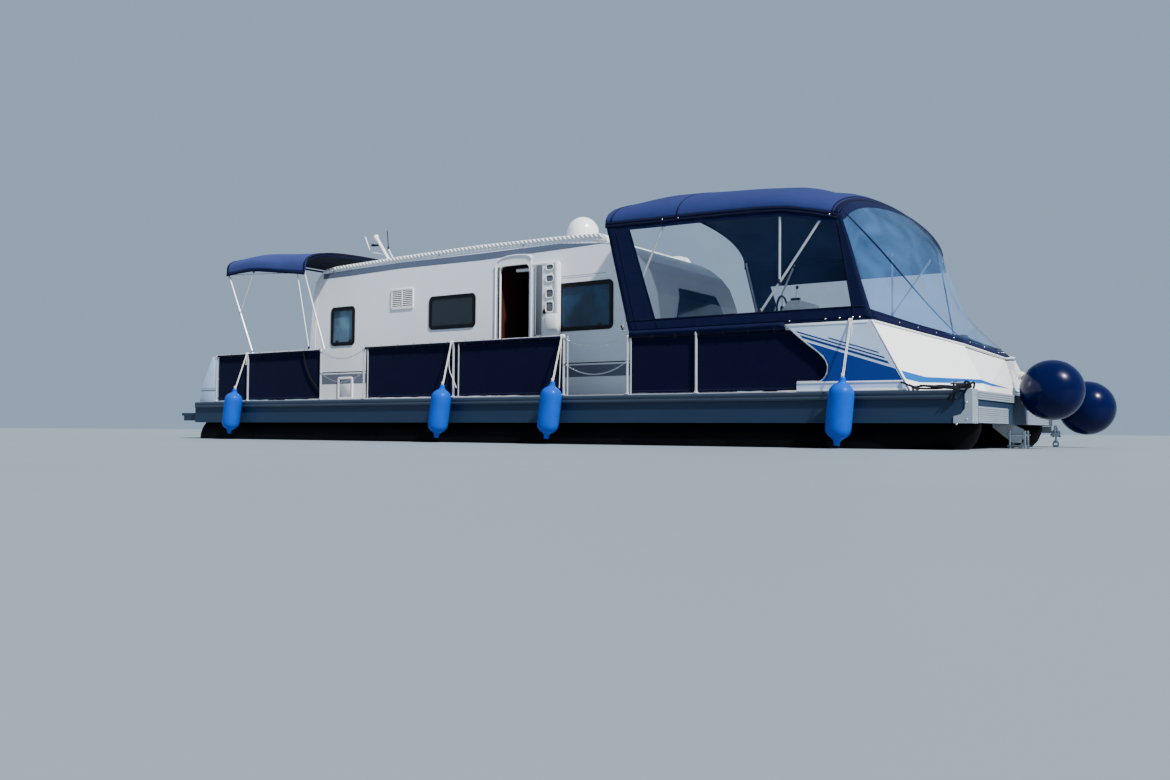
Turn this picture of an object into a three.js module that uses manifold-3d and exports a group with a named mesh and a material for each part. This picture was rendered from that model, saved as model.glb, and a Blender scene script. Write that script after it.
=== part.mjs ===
// A houseboat: a flat raft on two round floats that carries a caravan body, a covered bow cockpit,
// a railed side deck with cloth infill, a stern sun top and an outboard motor.
// Millimetres, +Z up, +X to the bow, +Y to port. The origin is under the middle of the whole boat,
// on the plane that the two floats stand on.

import * as THREE from "three";
import { mergeVertices } from "three/addons/utils/BufferGeometryUtils.js";
import Module from "manifold-3d";

const wasm = await Module();
wasm.setup();

// Driving dimensions
const LENGTH = 12800; // raft, bow edge to stern edge
const HALF_BEAM = 2000;
const FORE_REACH = 772; // the farther bow ball, ahead of the bow edge
const AFT_REACH = 13380; // the motor's cowl, aft of the bow edge
const BOW = (AFT_REACH - FORE_REACH) / 2;
const FLOAT_RADIUS = 420;
const FLOAT_CENTRE_Z = 420;
const WATERLINE = 400;
const DECK = WATERLINE + 616; // deck surface
const FLOAT_Y = 1530;
const GAP = 0.3; // between pieces that touch

const FASCIA_LOW = WATERLINE + 275;
const RUB_RAIL_LOW = WATERLINE + 522;
const RUB_RAIL_PROUD = 22;

const VAN_HALF_WIDTH = 1150;
const VAN_WALL = 30;
const VAN_FLOOR = 45;

const RAIL_Y = 1960;
const RAIL_HEIGHT = 790;
const RAIL_HEIGHT_FORE = 742;
const POST = 16; // radius of a railing post

const CANOPY_Y = 1975;
const CANOPY_CLOTH = 8;

// Places are given as d, the distance aft of the bow edge, y to port and h above the deck.
const at = (d, y, h) => new THREE.Vector3(BOW - d, y, DECK + h);

// Materials
const paint = (color, roughness, metalness = 0) =>
  new THREE.MeshStandardMaterial({ color, roughness, metalness });
const BLACK_PLASTIC = paint(0x14131a, 0.45);
const SLATE_PAINT = paint(0x2b445c, 0.5);
const LIGHT_PAINT = paint(0xb4bec9, 0.45);
const DECK_BOARDS = paint(0x8a8f92, 0.8);
const VAN_SKIN = paint(0xc3c7d2, 0.4);
const WHITE_PLASTIC = paint(0xf1f3f4, 0.35);
const TINTED_ACRYLIC = paint(0x1b2a3c, 0.1);
const ALUMINIUM = paint(0xb9bfc4, 0.35, 0.9);
const STEEL = paint(0xc8cdd0, 0.3, 0.9);
const NAVY_CLOTH = paint(0x12142e, 0.85);
const CANOPY_CLOTH_BLUE = paint(0x2a3566, 0.8);
const CLEAR_VINYL = paint(0x9fc0dc, 0.1);
const GELCOAT = paint(0xf4f6f8, 0.25);
const FENDER_BLUE = paint(0x0a6fd6, 0.3);
const BALL_NAVY = paint(0x0b1a6e, 0.2);
const MOTOR_GREY = paint(0x2c2f33, 0.4);
const WOOD = paint(0xa5825c, 0.6);

// Geometry helpers
function solid(geometry) {
  const bare = geometry.clone();
  bare.deleteAttribute("normal");
  bare.deleteAttribute("uv");
  const merged = mergeVertices(bare, 1e-3);
  const made = new wasm.Manifold(
    new wasm.Mesh({
      numProp: 3,
      vertProperties: new Float32Array(merged.attributes.position.array),
      triVerts: new Uint32Array(merged.index.array),
    }),
  );
  return made;
}

const join = (...pieces) => pieces.flat().reduce((whole, piece) => whole.add(piece));

const cut = (body, ...tools) => tools.flat().reduce((rest, tool) => rest.subtract(tool), body);

function geometryOf(manifold) {
  const raw = manifold.getMesh();
  const positions = new Float32Array(raw.numVert * 3);
  for (let i = 0; i < raw.numVert; i++) {
    positions.set(raw.vertProperties.subarray(i * raw.numProp, i * raw.numProp + 3), i * 3);
  }
  const geometry = new THREE.BufferGeometry();
  geometry.setAttribute("position", new THREE.BufferAttribute(positions, 3));
  geometry.setIndex(new THREE.BufferAttribute(new Uint32Array(raw.triVerts), 1));
  return geometry;
}

const boat = new THREE.Group();

function add(name, manifold, material, parent = boat) {
  const mesh = new THREE.Mesh(geometryOf(manifold), material);
  mesh.geometry.computeVertexNormals();
  mesh.name = name;
  parent.add(mesh);
  return mesh;
}

// A box by its limits: distances aft, port and above the deck
function block(d0, d1, y0, y1, h0, h1) {
  const size = new THREE.Vector3(Math.abs(d1 - d0), Math.abs(y1 - y0), Math.abs(h1 - h0));
  const middle = at((d0 + d1) / 2, (y0 + y1) / 2, (h0 + h1) / 2);
  const geometry = new THREE.BoxGeometry(size.x, size.y, size.z);
  geometry.translate(middle.x, middle.y, middle.z);
  return solid(geometry);
}

function outline(points) {
  const shape = new THREE.Shape(points.map(([a, b]) => new THREE.Vector2(a, b)));
  return shape;
}

// A side view outline of (d, h) points, made y0 to y1 thick
function sideSlab(points, y0, y1) {
  const shape = outline(points.map(([d, h]) => [BOW - d, DECK + h]));
  const geometry = new THREE.ExtrudeGeometry(shape, { depth: Math.abs(y1 - y0), bevelEnabled: false });
  geometry.rotateX(Math.PI / 2);
  geometry.translate(0, Math.max(y0, y1), 0);
  return solid(geometry);
}

// A cross-section outline of (y, h) points, carried from d0 to d1
function crossSlab(points, d0, d1) {
  const shape = outline(points.map(([y, h]) => [y, DECK + h]));
  const geometry = new THREE.ExtrudeGeometry(shape, { depth: Math.abs(d1 - d0), bevelEnabled: false });
  geometry.rotateX(Math.PI / 2);
  geometry.rotateZ(Math.PI / 2);
  geometry.translate(BOW - Math.max(d0, d1), 0, 0);
  return solid(geometry);
}

// A straight round bar between two places
function bar(from, to, radius, sides = 8) {
  const along = to.clone().sub(from);
  const geometry = new THREE.CylinderGeometry(radius, radius, along.length(), sides);
  geometry.applyQuaternion(
    new THREE.Quaternion().setFromUnitVectors(new THREE.Vector3(0, 1, 0), along.normalize()),
  );
  const middle = from.clone().add(to).multiplyScalar(0.5);
  geometry.translate(middle.x, middle.y, middle.z);
  return solid(geometry);
}

// A round tube along a bent route
function tube(places, radius, sides = 6) {
  const rings = places.map((place, i) => {
    const before = places[Math.max(i - 1, 0)];
    const after = places[Math.min(i + 1, places.length - 1)];
    const along = after.clone().sub(before).normalize();
    const side = new THREE.Vector3(1, 0, 0).addScaledVector(along, -along.x);
    if (side.length() < 0.2) side.set(0, 1, 0).addScaledVector(along, -along.y);
    side.normalize();
    const up = along.clone().cross(side);
    return Array.from({ length: sides }, (_, k) => {
      const angle = (k / sides) * 2 * Math.PI;
      return place
        .clone()
        .addScaledVector(side, radius * Math.cos(angle))
        .addScaledVector(up, radius * Math.sin(angle));
    });
  });
  return loft(rings);
}

function ball(centre, radius, around = 16, down = 8) {
  const geometry = new THREE.SphereGeometry(radius, around, down);
  geometry.rotateX(Math.PI / 2);
  geometry.translate(centre.x, centre.y, centre.z);
  return solid(geometry);
}

// A closed skin over rings that all have the same number of places
function loft(rings) {
  const count = rings[0].length;
  const positions = rings.flat().flatMap((place) => [place.x, place.y, place.z]);
  const index = [];
  for (let r = 0; r + 1 < rings.length; r++) {
    for (let i = 0; i < count; i++) {
      const a = r * count + i;
      const b = r * count + ((i + 1) % count);
      index.push(a, b, b + count, a, b + count, a + count);
    }
  }
  for (const [ring, turned] of [
    [0, true],
    [rings.length - 1, false],
  ]) {
    const flat = flattened(rings[ring]);
    for (const [a, b, c] of THREE.ShapeUtils.triangulateShape(flat, [])) {
      const corner = [a, b, c].map((k) => k + ring * count);
      index.push(...(turned ? corner.reverse() : corner));
    }
  }
  const geometry = new THREE.BufferGeometry();
  geometry.setAttribute("position", new THREE.Float32BufferAttribute(positions, 3));
  geometry.setIndex(index);
  const made = solid(geometry);
  if (made.volume() > 0) return made;
  const inner = geometry.index.array;
  for (let i = 0; i < inner.length; i += 3) [inner[i + 1], inner[i + 2]] = [inner[i + 2], inner[i + 1]];
  return solid(geometry);
}

// A ring of places seen flat, along the axis that it faces most
function flattened(ring) {
  const normal = new THREE.Vector3();
  ring.forEach((p, i) => {
    const q = ring[(i + 1) % ring.length];
    normal.x += (p.y - q.y) * (p.z + q.z);
    normal.y += (p.z - q.z) * (p.x + q.x);
    normal.z += (p.x - q.x) * (p.y + q.y);
  });
  normal.normalize();
  const across = new THREE.Vector3(0, 0, 1).cross(normal);
  if (across.length() < 0.1) across.set(0, 1, 0);
  across.normalize();
  const up = normal.clone().cross(across);
  return ring.map((p) => new THREE.Vector2(p.dot(across), p.dot(up)));
}

// A strip of even thickness inside a line of (d, h) points
function band(points, thickness) {
  const inner = points.map(([d, h], i) => {
    const [d0, h0] = points[Math.max(i - 1, 0)];
    const [d1, h1] = points[Math.min(i + 1, points.length - 1)];
    const run = Math.hypot(d1 - d0, h1 - h0);
    return [d + ((h1 - h0) / run) * thickness * -1, h + ((d1 - d0) / run) * thickness];
  });
  return [...points, ...inner.reverse()];
}

// A rounded rectangle of (d, h) points
function roundedBox(d0, d1, h0, h1, radius, steps = 3) {
  const corners = [
    [d1 - radius, h1 - radius, 0],
    [d0 + radius, h1 - radius, 1],
    [d0 + radius, h0 + radius, 2],
    [d1 - radius, h0 + radius, 3],
  ];
  return corners.flatMap(([d, h, quarter]) =>
    Array.from({ length: steps + 1 }, (_, i) => {
      const angle = (quarter + i / steps) * (Math.PI / 2);
      return [d + radius * Math.cos(angle), h + radius * Math.sin(angle)];
    }),
  );
}

const SIDES = [
  ["starboard", -1],
  ["port", 1],
];

// Floats: round tubes with an upswept bow and a coned stern
const FLOAT_TOP = FLOAT_CENTRE_Z + FLOAT_RADIUS;
const FLOAT_BOW = 40;
const FLOAT_NOSE = 1200;
const FLOAT_NOSE_TIP_Z = WATERLINE + 250;
const FLOAT_CONE = 300;
const FLOAT_STERN = 12980;
const FLOAT_STERN_RADIUS = 120;
const FLOAT_FACETS = 24;

function floatRing(d, radius, centreZ, y) {
  return Array.from({ length: FLOAT_FACETS }, (_, i) => {
    const angle = (i / FLOAT_FACETS) * 2 * Math.PI + Math.PI / 2;
    return new THREE.Vector3(BOW - d, y + radius * Math.cos(angle), centreZ + radius * Math.sin(angle));
  });
}

for (const [side, sign] of SIDES) {
  const rings = [];
  for (const share of [0, 0.06, 0.2, 0.4, 0.65, 1]) {
    const rise = Math.sqrt(1 - (1 - share) ** 2);
    const bottom = FLOAT_NOSE_TIP_Z * (1 - rise);
    rings.push(
      floatRing(FLOAT_BOW + share * FLOAT_NOSE, (FLOAT_TOP - bottom) / 2, (FLOAT_TOP + bottom) / 2, sign * FLOAT_Y),
    );
  }
  rings.push(floatRing(FLOAT_STERN - FLOAT_CONE, FLOAT_RADIUS, FLOAT_CENTRE_Z, sign * FLOAT_Y));
  rings.push(floatRing(FLOAT_STERN, FLOAT_STERN_RADIUS, FLOAT_CENTRE_Z, sign * FLOAT_Y));
  add(`float_${side}`, loft(rings), BLACK_PLASTIC);
}

// Deck frame: beams on the floats, cross beams, and the fascia that closes the raft all round
const DECK_BOARD = 30;
const DECK_EDGE_GAP = 1;
const BEAM_TOP = -DECK_BOARD - GAP;
const BEAM_LOW = FLOAT_TOP - DECK + GAP;
const BEAM_HALF_WIDTH = 90;
const CROSS_BEAMS = 11;
const CROSS_BEAM = 80;
const FASCIA = 20;
const FASCIA_H = FASCIA_LOW - DECK;
const RUB_H = RUB_RAIL_LOW - DECK;
const RUB_BOW = 90;
const STERN_STEP = [
  // d0, d1, y0, y1
  [LENGTH - 10, 13280, 700, 1930],
];
const STEP_TOP = -180;
const STEP_THICK = 45;

function rubRail(sign) {
  const rub = [
    [HALF_BEAM - 8, RUB_H],
    [HALF_BEAM + RUB_RAIL_PROUD - 6, RUB_H],
    [HALF_BEAM + RUB_RAIL_PROUD, RUB_H + 10],
    [HALF_BEAM + RUB_RAIL_PROUD, -10],
    [HALF_BEAM + RUB_RAIL_PROUD - 8, -2],
    [HALF_BEAM - 8, -2],
  ].map(([y, h]) => [sign * y, h]);
  return crossSlab(rub, RUB_BOW + 60, LENGTH - 20);
}

const INNER_Y = HALF_BEAM - FASCIA;
const LADDER = { d: 13302, y: 1180, h: -200, length: 740, half: 170 };
const framePieces = [
  cut(
    block(0, LENGTH, -HALF_BEAM, HALF_BEAM, FASCIA_H, 0),
    block(FASCIA, LENGTH - FASCIA, -INNER_Y, INNER_Y, FASCIA_H - 5, 5),
  ),
];
for (const [, sign] of SIDES) {
  framePieces.push(
    block(10, LENGTH - 10, sign * (FLOAT_Y - BEAM_HALF_WIDTH), sign * (FLOAT_Y + BEAM_HALF_WIDTH), BEAM_LOW, BEAM_TOP),
    rubRail(sign),
  );
  for (const [d0, d1, y0, y1] of STERN_STEP) {
    framePieces.push(block(d0, d1, sign * y0, sign * y1, STEP_TOP - STEP_THICK, STEP_TOP));
    framePieces.push(block(d0, d1 - 60, sign * y0, sign * (y0 + 30), STEP_TOP - 130, STEP_TOP));
    framePieces.push(block(d0, d1 - 60, sign * y1, sign * (y1 - 30), STEP_TOP - 130, STEP_TOP));
  }
}
for (let i = 0; i < CROSS_BEAMS; i++) {
  const d = 150 + ((LENGTH - 300 - CROSS_BEAM) * i) / (CROSS_BEAMS - 1);
  framePieces.push(block(d, d + CROSS_BEAM, -HALF_BEAM + 5, HALF_BEAM - 5, BEAM_TOP - 100, BEAM_TOP));
}
for (const side of [-1, 1]) {
  const y = LADDER.y + side * (LADDER.half + 13.6);
  framePieces.push(block(13265, LADDER.d + 14, y, y + side * 10, LADDER.h - 20, LADDER.h + 14));
}
const floatNotches = SIDES.map(([, sign]) =>
  block(LENGTH - FASCIA - 5, LENGTH + 5, sign * 1270, sign * 1790, FASCIA_H - 5, FLOAT_TOP - DECK + GAP),
);
add("deck_frame", cut(join(framePieces), floatNotches), SLATE_PAINT);

// Deck: boards laid between the fascias
add(
  "deck",
  block(
    FASCIA + DECK_EDGE_GAP,
    LENGTH - FASCIA - DECK_EDGE_GAP,
    -HALF_BEAM + FASCIA + DECK_EDGE_GAP,
    HALF_BEAM - FASCIA - DECK_EDGE_GAP,
    -DECK_BOARD,
    0,
  ),
  DECK_BOARDS,
);

// Bow corners: light corner plates with ribbed boards on the bow face and a mooring cleat on top
const CORNER_THICK = 8;
const BOARD_PROUD = 16;
const BOARDS = [
  // inner y, outer y, low h, high h
  [180, 1815, -92, 0],
  [495, 1800, -333, -165],
];
const RIB = 22;
const CHAIN_BAR_H = FASCIA_H - 72;

function ribbedProfile(low, high) {
  const points = [[-GAP, low]];
  const ribs = Math.round((high - low) / RIB);
  for (let i = 0; i < ribs; i++) {
    const start = low + ((high - low) * i) / ribs;
    const end = low + ((high - low) * (i + 1)) / ribs;
    points.push([-BOARD_PROUD, start], [-BOARD_PROUD, start + (end - start) * 0.6]);
    points.push([-BOARD_PROUD * 0.62, start + (end - start) * 0.75], [-BOARD_PROUD * 0.62, end]);
  }
  points.push([-GAP, high]);
  return points;
}

function cleat(d, y) {
  return join(
    bar(at(d - 35, y, 2), at(d - 35, y, 62), 13),
    bar(at(d + 35, y, 2), at(d + 35, y, 62), 13),
    bar(at(d - 125, y, 70), at(d + 125, y, 70), 13),
  );
}

for (const [side, sign] of SIDES) {
  const pieces = [
    block(-GAP, -CORNER_THICK, sign * 1790, sign * (HALF_BEAM + CORNER_THICK), FASCIA_H, 4),
    block(-CORNER_THICK, 66, sign * (HALF_BEAM + GAP), sign * (HALF_BEAM + CORNER_THICK), FASCIA_H, 4),
    sideSlab(
      [
        [60, FASCIA_H],
        [180, FASCIA_H],
        [180, FASCIA_H + 70],
        [110, FASCIA_H + 90],
        [66, FASCIA_H + 150],
        [60, FASCIA_H + 150],
      ],
      sign * (HALF_BEAM + GAP),
      sign * (HALF_BEAM + CORNER_THICK),
    ),
    block(-CORNER_THICK, 150, sign * (HALF_BEAM + CORNER_THICK), sign * 1800, GAP, 8),
    cleat(110, sign * 1905),
    block(20, 200, sign * 1860, sign * 1950, GAP, 10),
  ];
  if (sign > 0) {
    // a second chain runs over a bar under the port corner
    pieces.push(block(-CORNER_THICK, -GAP, 1905, 1960, CHAIN_BAR_H - 20, FASCIA_H + 40));
    pieces.push(block(-CORNER_THICK, 100, 1905, 1960, CHAIN_BAR_H - 20, FASCIA_H - 8));
    pieces.push(bar(at(105, 1932, CHAIN_BAR_H), at(-114, 1932, CHAIN_BAR_H - 10), 17, 12));
  }
  for (const [y0, y1, low, high] of BOARDS) {
    pieces.push(sideSlab(ribbedProfile(low, high), sign * y0, sign * y1));
  }
  add(`bow_corner_${side}`, join(pieces), LIGHT_PAINT);
}

// Anchor bracket under the bow: two cheeks that reach out under the face, with a roller between them
const CHEEK = [
  [20.5, FASCIA_H + 120],
  [260, FASCIA_H + 120],
  [260, FASCIA_H - 30],
  [40, FASCIA_H - 210],
  [-60, FASCIA_H - 210],
  [-60, FASCIA_H - 50],
  [20.5, FASCIA_H - 10],
];
add(
  "anchor_bracket",
  join(
    sideSlab(CHEEK, -60, -48),
    sideSlab(CHEEK, 48, 60),
    block(20.5, 60, -60, 60, FASCIA_H - 30, FASCIA_H - 10),
    bar(at(-20, -62, FASCIA_H - 150), at(-20, 62, FASCIA_H - 150), 28, 12),
  ),
  STEEL,
);

// Caravan body. Its outline is a line of (d, h) points, in three runs: rear, roof and front.
const VAN_REAR = [
  [10930, GAP],
  [10915, 900],
  [10850, 1760],
  [10780, 2010],
  [10640, 2140],
];
const VAN_ROOF = [
  [10638, 2142],
  [10400, 2190],
  [5600, 2205],
  [5250, 2180],
];
const VAN_FRONT = [
  [5248, 2178],
  [4760, 2075],
  [4600, 1985],
  [4420, 1840],
  [4290, 1680],
  [4225, 1520],
  [4170, 1367],
  [4125, 1000],
  [4125, 350],
  [4200, GAP],
];
const VAN_INSIDE_Y = VAN_HALF_WIDTH - VAN_WALL - GAP;

const WINDOW_PROUD = 18;
const WINDOW_LAP = 34;
const WINDOW_CORNER = 60;
const WINDOWS = [
  // name, side, d0, d1, h0, h1
  ["window_starboard_aft", -1, 9840, 10400, 918, 1552],
  ["window_starboard_mid", -1, 7285, 8215, 1075, 1585],
  ["window_starboard_fore", -1, 4860, 5980, 930, 1602],
  ["window_port_aft", 1, 8900, 9830, 930, 1602],
  ["window_port_fore", 1, 4860, 5980, 930, 1602],
];
const DOOR_OPENING = [6287, 6828, 60, 1930]; // d0, d1, h0, h1
const VENT = [8545, 9030, 1430, 1752];
const HATCH = [9865, 10220, 32, 405];

for (const [side, sign] of SIDES) {
  const y0 = sign * (VAN_HALF_WIDTH - VAN_WALL);
  const y1 = sign * VAN_HALF_WIDTH;
  let wall = sideSlab([...VAN_REAR, ...VAN_ROOF, ...VAN_FRONT], y0, y1);
  for (const [, windowSign, d0, d1, h0, h1] of WINDOWS) {
    if (windowSign !== sign) continue;
    const hole = roundedBox(d0 + WINDOW_LAP, d1 - WINDOW_LAP, h0 + WINDOW_LAP, h1 - WINDOW_LAP, WINDOW_CORNER);
    wall = cut(wall, sideSlab(hole, sign * (VAN_HALF_WIDTH - 100), sign * (VAN_HALF_WIDTH + 100)));
  }
  if (sign < 0) {
    const [d0, d1, h0, h1] = DOOR_OPENING;
    wall = cut(wall, sideSlab(roundedBox(d0, d1, h0, h1, 70), -1050, -1250));
  }
  add(`van_wall_${side}`, wall, VAN_SKIN);
}

// Rear, roof and front: one skin between the side walls, with a seam at each change of panel
const SEAM = 1;
const REAR_SEAM_D = 10640;
const FRONT_SEAM_D = 5250;
const vanSkin = cut(
  sideSlab(band([...VAN_REAR, ...VAN_ROOF, ...VAN_FRONT], 35), -VAN_INSIDE_Y, VAN_INSIDE_Y),
  block(4000, 11000, -1200, 1200, -200, GAP),
);
const partOfSkin = (d0, d1) => vanSkin.intersect(block(d0, d1, -1200, 1200, -10, 2500));
add("van_wall_rear", partOfSkin(REAR_SEAM_D + SEAM, 11000), VAN_SKIN);

const FRONT_WINDOW = { low: 980, high: 1500, halfTop: 520, halfLow: 760 };
const frontHole = crossSlab(
  [
    [-FRONT_WINDOW.halfLow + 40, FRONT_WINDOW.low + 35],
    [FRONT_WINDOW.halfLow - 40, FRONT_WINDOW.low + 35],
    [FRONT_WINDOW.halfTop - 30, FRONT_WINDOW.high - 35],
    [-FRONT_WINDOW.halfTop + 30, FRONT_WINDOW.high - 35],
  ],
  4000,
  4500,
);
add(
  "van_wall_front",
  cut(partOfSkin(4000, FRONT_SEAM_D - SEAM), frontHole),
  VAN_SKIN,
);

// Aerial: a leaning mast with two arms, fixed to the roof
const AERIAL_FOOT = [9960, -400];
const aerial = join(
  bar(at(AERIAL_FOOT[0], AERIAL_FOOT[1], 2185), at(10136, -400, 2853), 16),
  bar(at(10050, -400, 2520), at(10250, -400, 2480), 7, 6),
  bar(at(10250, -400, 2480), at(10438, -400, 2884), 6, 6),
  bar(at(9960, -400, 2190), at(9888, -400, 2913), 5, 6),
);
add("van_roof", join(partOfSkin(FRONT_SEAM_D + SEAM, REAR_SEAM_D - SEAM), aerial), WHITE_PLASTIC);

for (const [name, sign, d0, d1, h0, h1] of WINDOWS) {
  const pane = sideSlab(
    roundedBox(d0, d1, h0, h1, WINDOW_CORNER + 10),
    sign * (VAN_HALF_WIDTH + GAP),
    sign * (VAN_HALF_WIDTH + WINDOW_PROUD),
  );
  add(name, pane, TINTED_ACRYLIC);
}

// Front window: a bent pane laid over its opening
const frontPane = cut(
  sideSlab(
    [
      ...VAN_FRONT.slice(4, 9).map(([d, h]) => [d - GAP - 0.4, h]),
      ...VAN_FRONT.slice(4, 9)
        .map(([d, h]) => [d - 19, h])
        .reverse(),
    ],
    -1000,
    1000,
  ),
  join(
    block(3900, 4500, -1100, 1100, 200, FRONT_WINDOW.low),
    block(3900, 4500, -1100, 1100, FRONT_WINDOW.high, 2200),
    crossSlab(
      [
        [FRONT_WINDOW.halfTop, FRONT_WINDOW.high + 50],
        [FRONT_WINDOW.halfTop, FRONT_WINDOW.high],
        [FRONT_WINDOW.halfLow, FRONT_WINDOW.low],
        [FRONT_WINDOW.halfLow, FRONT_WINDOW.low - 50],
        [1500, FRONT_WINDOW.low - 50],
        [1500, FRONT_WINDOW.high + 50],
      ],
      3900,
      4500,
    ),
    crossSlab(
      [
        [-FRONT_WINDOW.halfTop, FRONT_WINDOW.high + 50],
        [-1500, FRONT_WINDOW.high + 50],
        [-1500, FRONT_WINDOW.low - 50],
        [-FRONT_WINDOW.halfLow, FRONT_WINDOW.low - 50],
        [-FRONT_WINDOW.halfLow, FRONT_WINDOW.low],
        [-FRONT_WINDOW.halfTop, FRONT_WINDOW.high],
      ],
      3900,
      4500,
    ),
  ),
);
add("window_front", frontPane, TINTED_ACRYLIC);

// Entrance: a white surround, and the door folded back flat against the wall
const [DOOR_D0, DOOR_D1, DOOR_H0, DOOR_H1] = DOOR_OPENING;
const SURROUND_PROUD = 10;
const surround = cut(
  sideSlab(
    [
      [DOOR_D1 + 60, DOOR_H0 - 10],
      [DOOR_D1 + 95, 600],
      [DOOR_D1 + 95, DOOR_H1 + 20],
      [DOOR_D1 + 40, DOOR_H1 + 90],
      [(DOOR_D0 + DOOR_D1) / 2, DOOR_H1 + 150],
      [DOOR_D0 - 5, DOOR_H1 + 100],
      [DOOR_D0 - 42, DOOR_H1 + 40],
      [DOOR_D0 - 42, DOOR_H0 - 10],
    ],
    -VAN_HALF_WIDTH - GAP,
    -VAN_HALF_WIDTH - SURROUND_PROUD,
  ),
  sideSlab(roundedBox(DOOR_D0, DOOR_D1, DOOR_H0, DOOR_H1, 70), -1050, -1250),
);
const DOOR_AXIS_D = 6265;
const DOOR_AXIS_Y = -1172;
const KNUCKLES = [300, 1000, 1700];
const KNUCKLE = 90;
const hingePads = KNUCKLES.map((h) =>
  block(DOOR_AXIS_D - 9, DOOR_AXIS_D + 9, -1155, DOOR_AXIS_Y + 6.5, h, h + KNUCKLE * 0.4),
);
add("door_surround", join(surround, hingePads), WHITE_PLASTIC);

const DOOR_LEAF = [5712, 6235, DOOR_H0 + 8, DOOR_H1 - 8];
const leafOutline = roundedBox(...DOOR_LEAF, 64);
const leaf = sideSlab(leafOutline, DOOR_AXIS_Y - 6, DOOR_AXIS_Y - 42);
const knuckles = KNUCKLES.map((h) =>
  join(
    bar(at(DOOR_AXIS_D, DOOR_AXIS_Y, h), at(DOOR_AXIS_D, DOOR_AXIS_Y, h + KNUCKLE), 6, 8),
    block(DOOR_AXIS_D + 2, DOOR_LEAF[1] - 20, DOOR_AXIS_Y - 9, DOOR_AXIS_Y - 4, h + KNUCKLE * 0.5, h + KNUCKLE),
  ),
);
add("door", join(leaf, knuckles), WHITE_PLASTIC);

// Fridge vent and service flap on the wall, satellite dome on the roof
add("fridge_vent", sideSlab(roundedBox(...VENT, 18, 2), -VAN_HALF_WIDTH - GAP, -VAN_HALF_WIDTH - 14), WHITE_PLASTIC);
add("service_flap", sideSlab(roundedBox(...HATCH, 30, 2), -VAN_HALF_WIDTH - GAP, -VAN_HALF_WIDTH - 14), WHITE_PLASTIC);

const DOME = { d: 5890, y: -400, low: 2204.4, radius: 235, straight: 240 };
const domeProfile = [
  [0, 0],
  [DOME.radius - 20, 0],
  [DOME.radius, 20],
  [DOME.radius, DOME.straight],
];
for (let i = 1; i <= 6; i++) {
  const angle = (i / 6) * (Math.PI / 2);
  domeProfile.push([DOME.radius * Math.cos(angle), DOME.straight + DOME.radius * Math.sin(angle)]);
}
const domeGeometry = new THREE.LatheGeometry(
  domeProfile.map(([r, z]) => new THREE.Vector2(Math.max(r, 0), z)),
  20,
);
domeGeometry.rotateX(Math.PI / 2);
const domePlace = at(DOME.d, DOME.y, DOME.low + 1);
domeGeometry.translate(domePlace.x, domePlace.y, domePlace.z);
add("satellite_dome", solid(domeGeometry), WHITE_PLASTIC);

// Floor, with the galley that shows through the door: a worktop unit against the port wall
add(
  "van_floor",
  join(
    block(4260, 10860, -VAN_INSIDE_Y, VAN_INSIDE_Y, GAP, VAN_FLOOR),
    block(5600, 8200, VAN_INSIDE_Y - 560, VAN_INSIDE_Y - 10, VAN_FLOOR - 5, 880),
    block(5580, 8220, VAN_INSIDE_Y - 590, VAN_INSIDE_Y - 10, 870, 905),
    block(5600, 8200, VAN_INSIDE_Y - 330, VAN_INSIDE_Y - 10, 1650, 2000),
    block(5600, 5630, VAN_INSIDE_Y - 560, VAN_INSIDE_Y - 10, 900, 1700),
  ),
  WOOD,
);

// Bow cockpit sides: a panel from the railing to the bow knuckle
const BULWARK_OUTER = 1985;
const BULWARK_THICK = 28;
const BULWARK = [
  [2015, 762],
  [1900, 660],
  [1580, 400],
  [1518, 310],
  [1528, 200],
  [1610, 110],
  [1884, 107],
  [1884, GAP],
  [646, GAP],
  [1054, 762],
];
for (const [side, sign] of SIDES) {
  add(
    `bulwark_${side}`,
    sideSlab(BULWARK, sign * (BULWARK_OUTER - BULWARK_THICK), sign * BULWARK_OUTER),
    LIGHT_PAINT,
  );
}

// Prow fairing: flat facets that meet on the centreline
const FAIRING = [
  // d low, d high, y, h high
  [620, 1028, 1985, 760],
  [44, 292, 1195, 527],
  [8, 128, 0, 440],
];
const FAIRING_THICK = 26;
const fairingStations = [
  ...FAIRING.map(([low, high, y, h]) => [low, high, -y, h]),
  ...FAIRING.slice(0, -1)
    .reverse()
    .map(([low, high, y, h]) => [low, high, y, h]),
];
add(
  "prow_fairing",
  loft(
    fairingStations.map(([low, high, y, h]) => {
      const inward = FAIRING_THICK * (Math.abs(y) > 1500 ? 0.7 : 1);
      return [
        at(low, y, GAP),
        at(high, y, h),
        at(high + inward, y * 0.992, h),
        at(low + inward, y * 0.992, GAP),
      ];
    }),
  ),
  GELCOAT,
);

// Bow canopy. The roof is a run of arches, and it rolls over to the front arch, which leans forward.
const ARCHES = [
  // d, hem height, crown height, lean of the crown aft
  [4450, 2175, 2630, 0],
  [3800, 2158, 2705, 0],
  [2900, 2140, 2652, 0],
  [2090, 2105, 2568, 0],
  [1750, 2040, 2462, 0],
  [1520, 1982, 2395, -40],
];
const FRONT_ARCH = { d: 1400, lean: -100, hem: 1948, crown: 2270 };
const ARCH_STEPS = 14;

function archPoint(angle, hem, crown, inset) {
  return [-(CANOPY_Y - inset) * Math.cos(angle), hem + (crown - hem - inset) * Math.sin(angle)];
}

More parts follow.
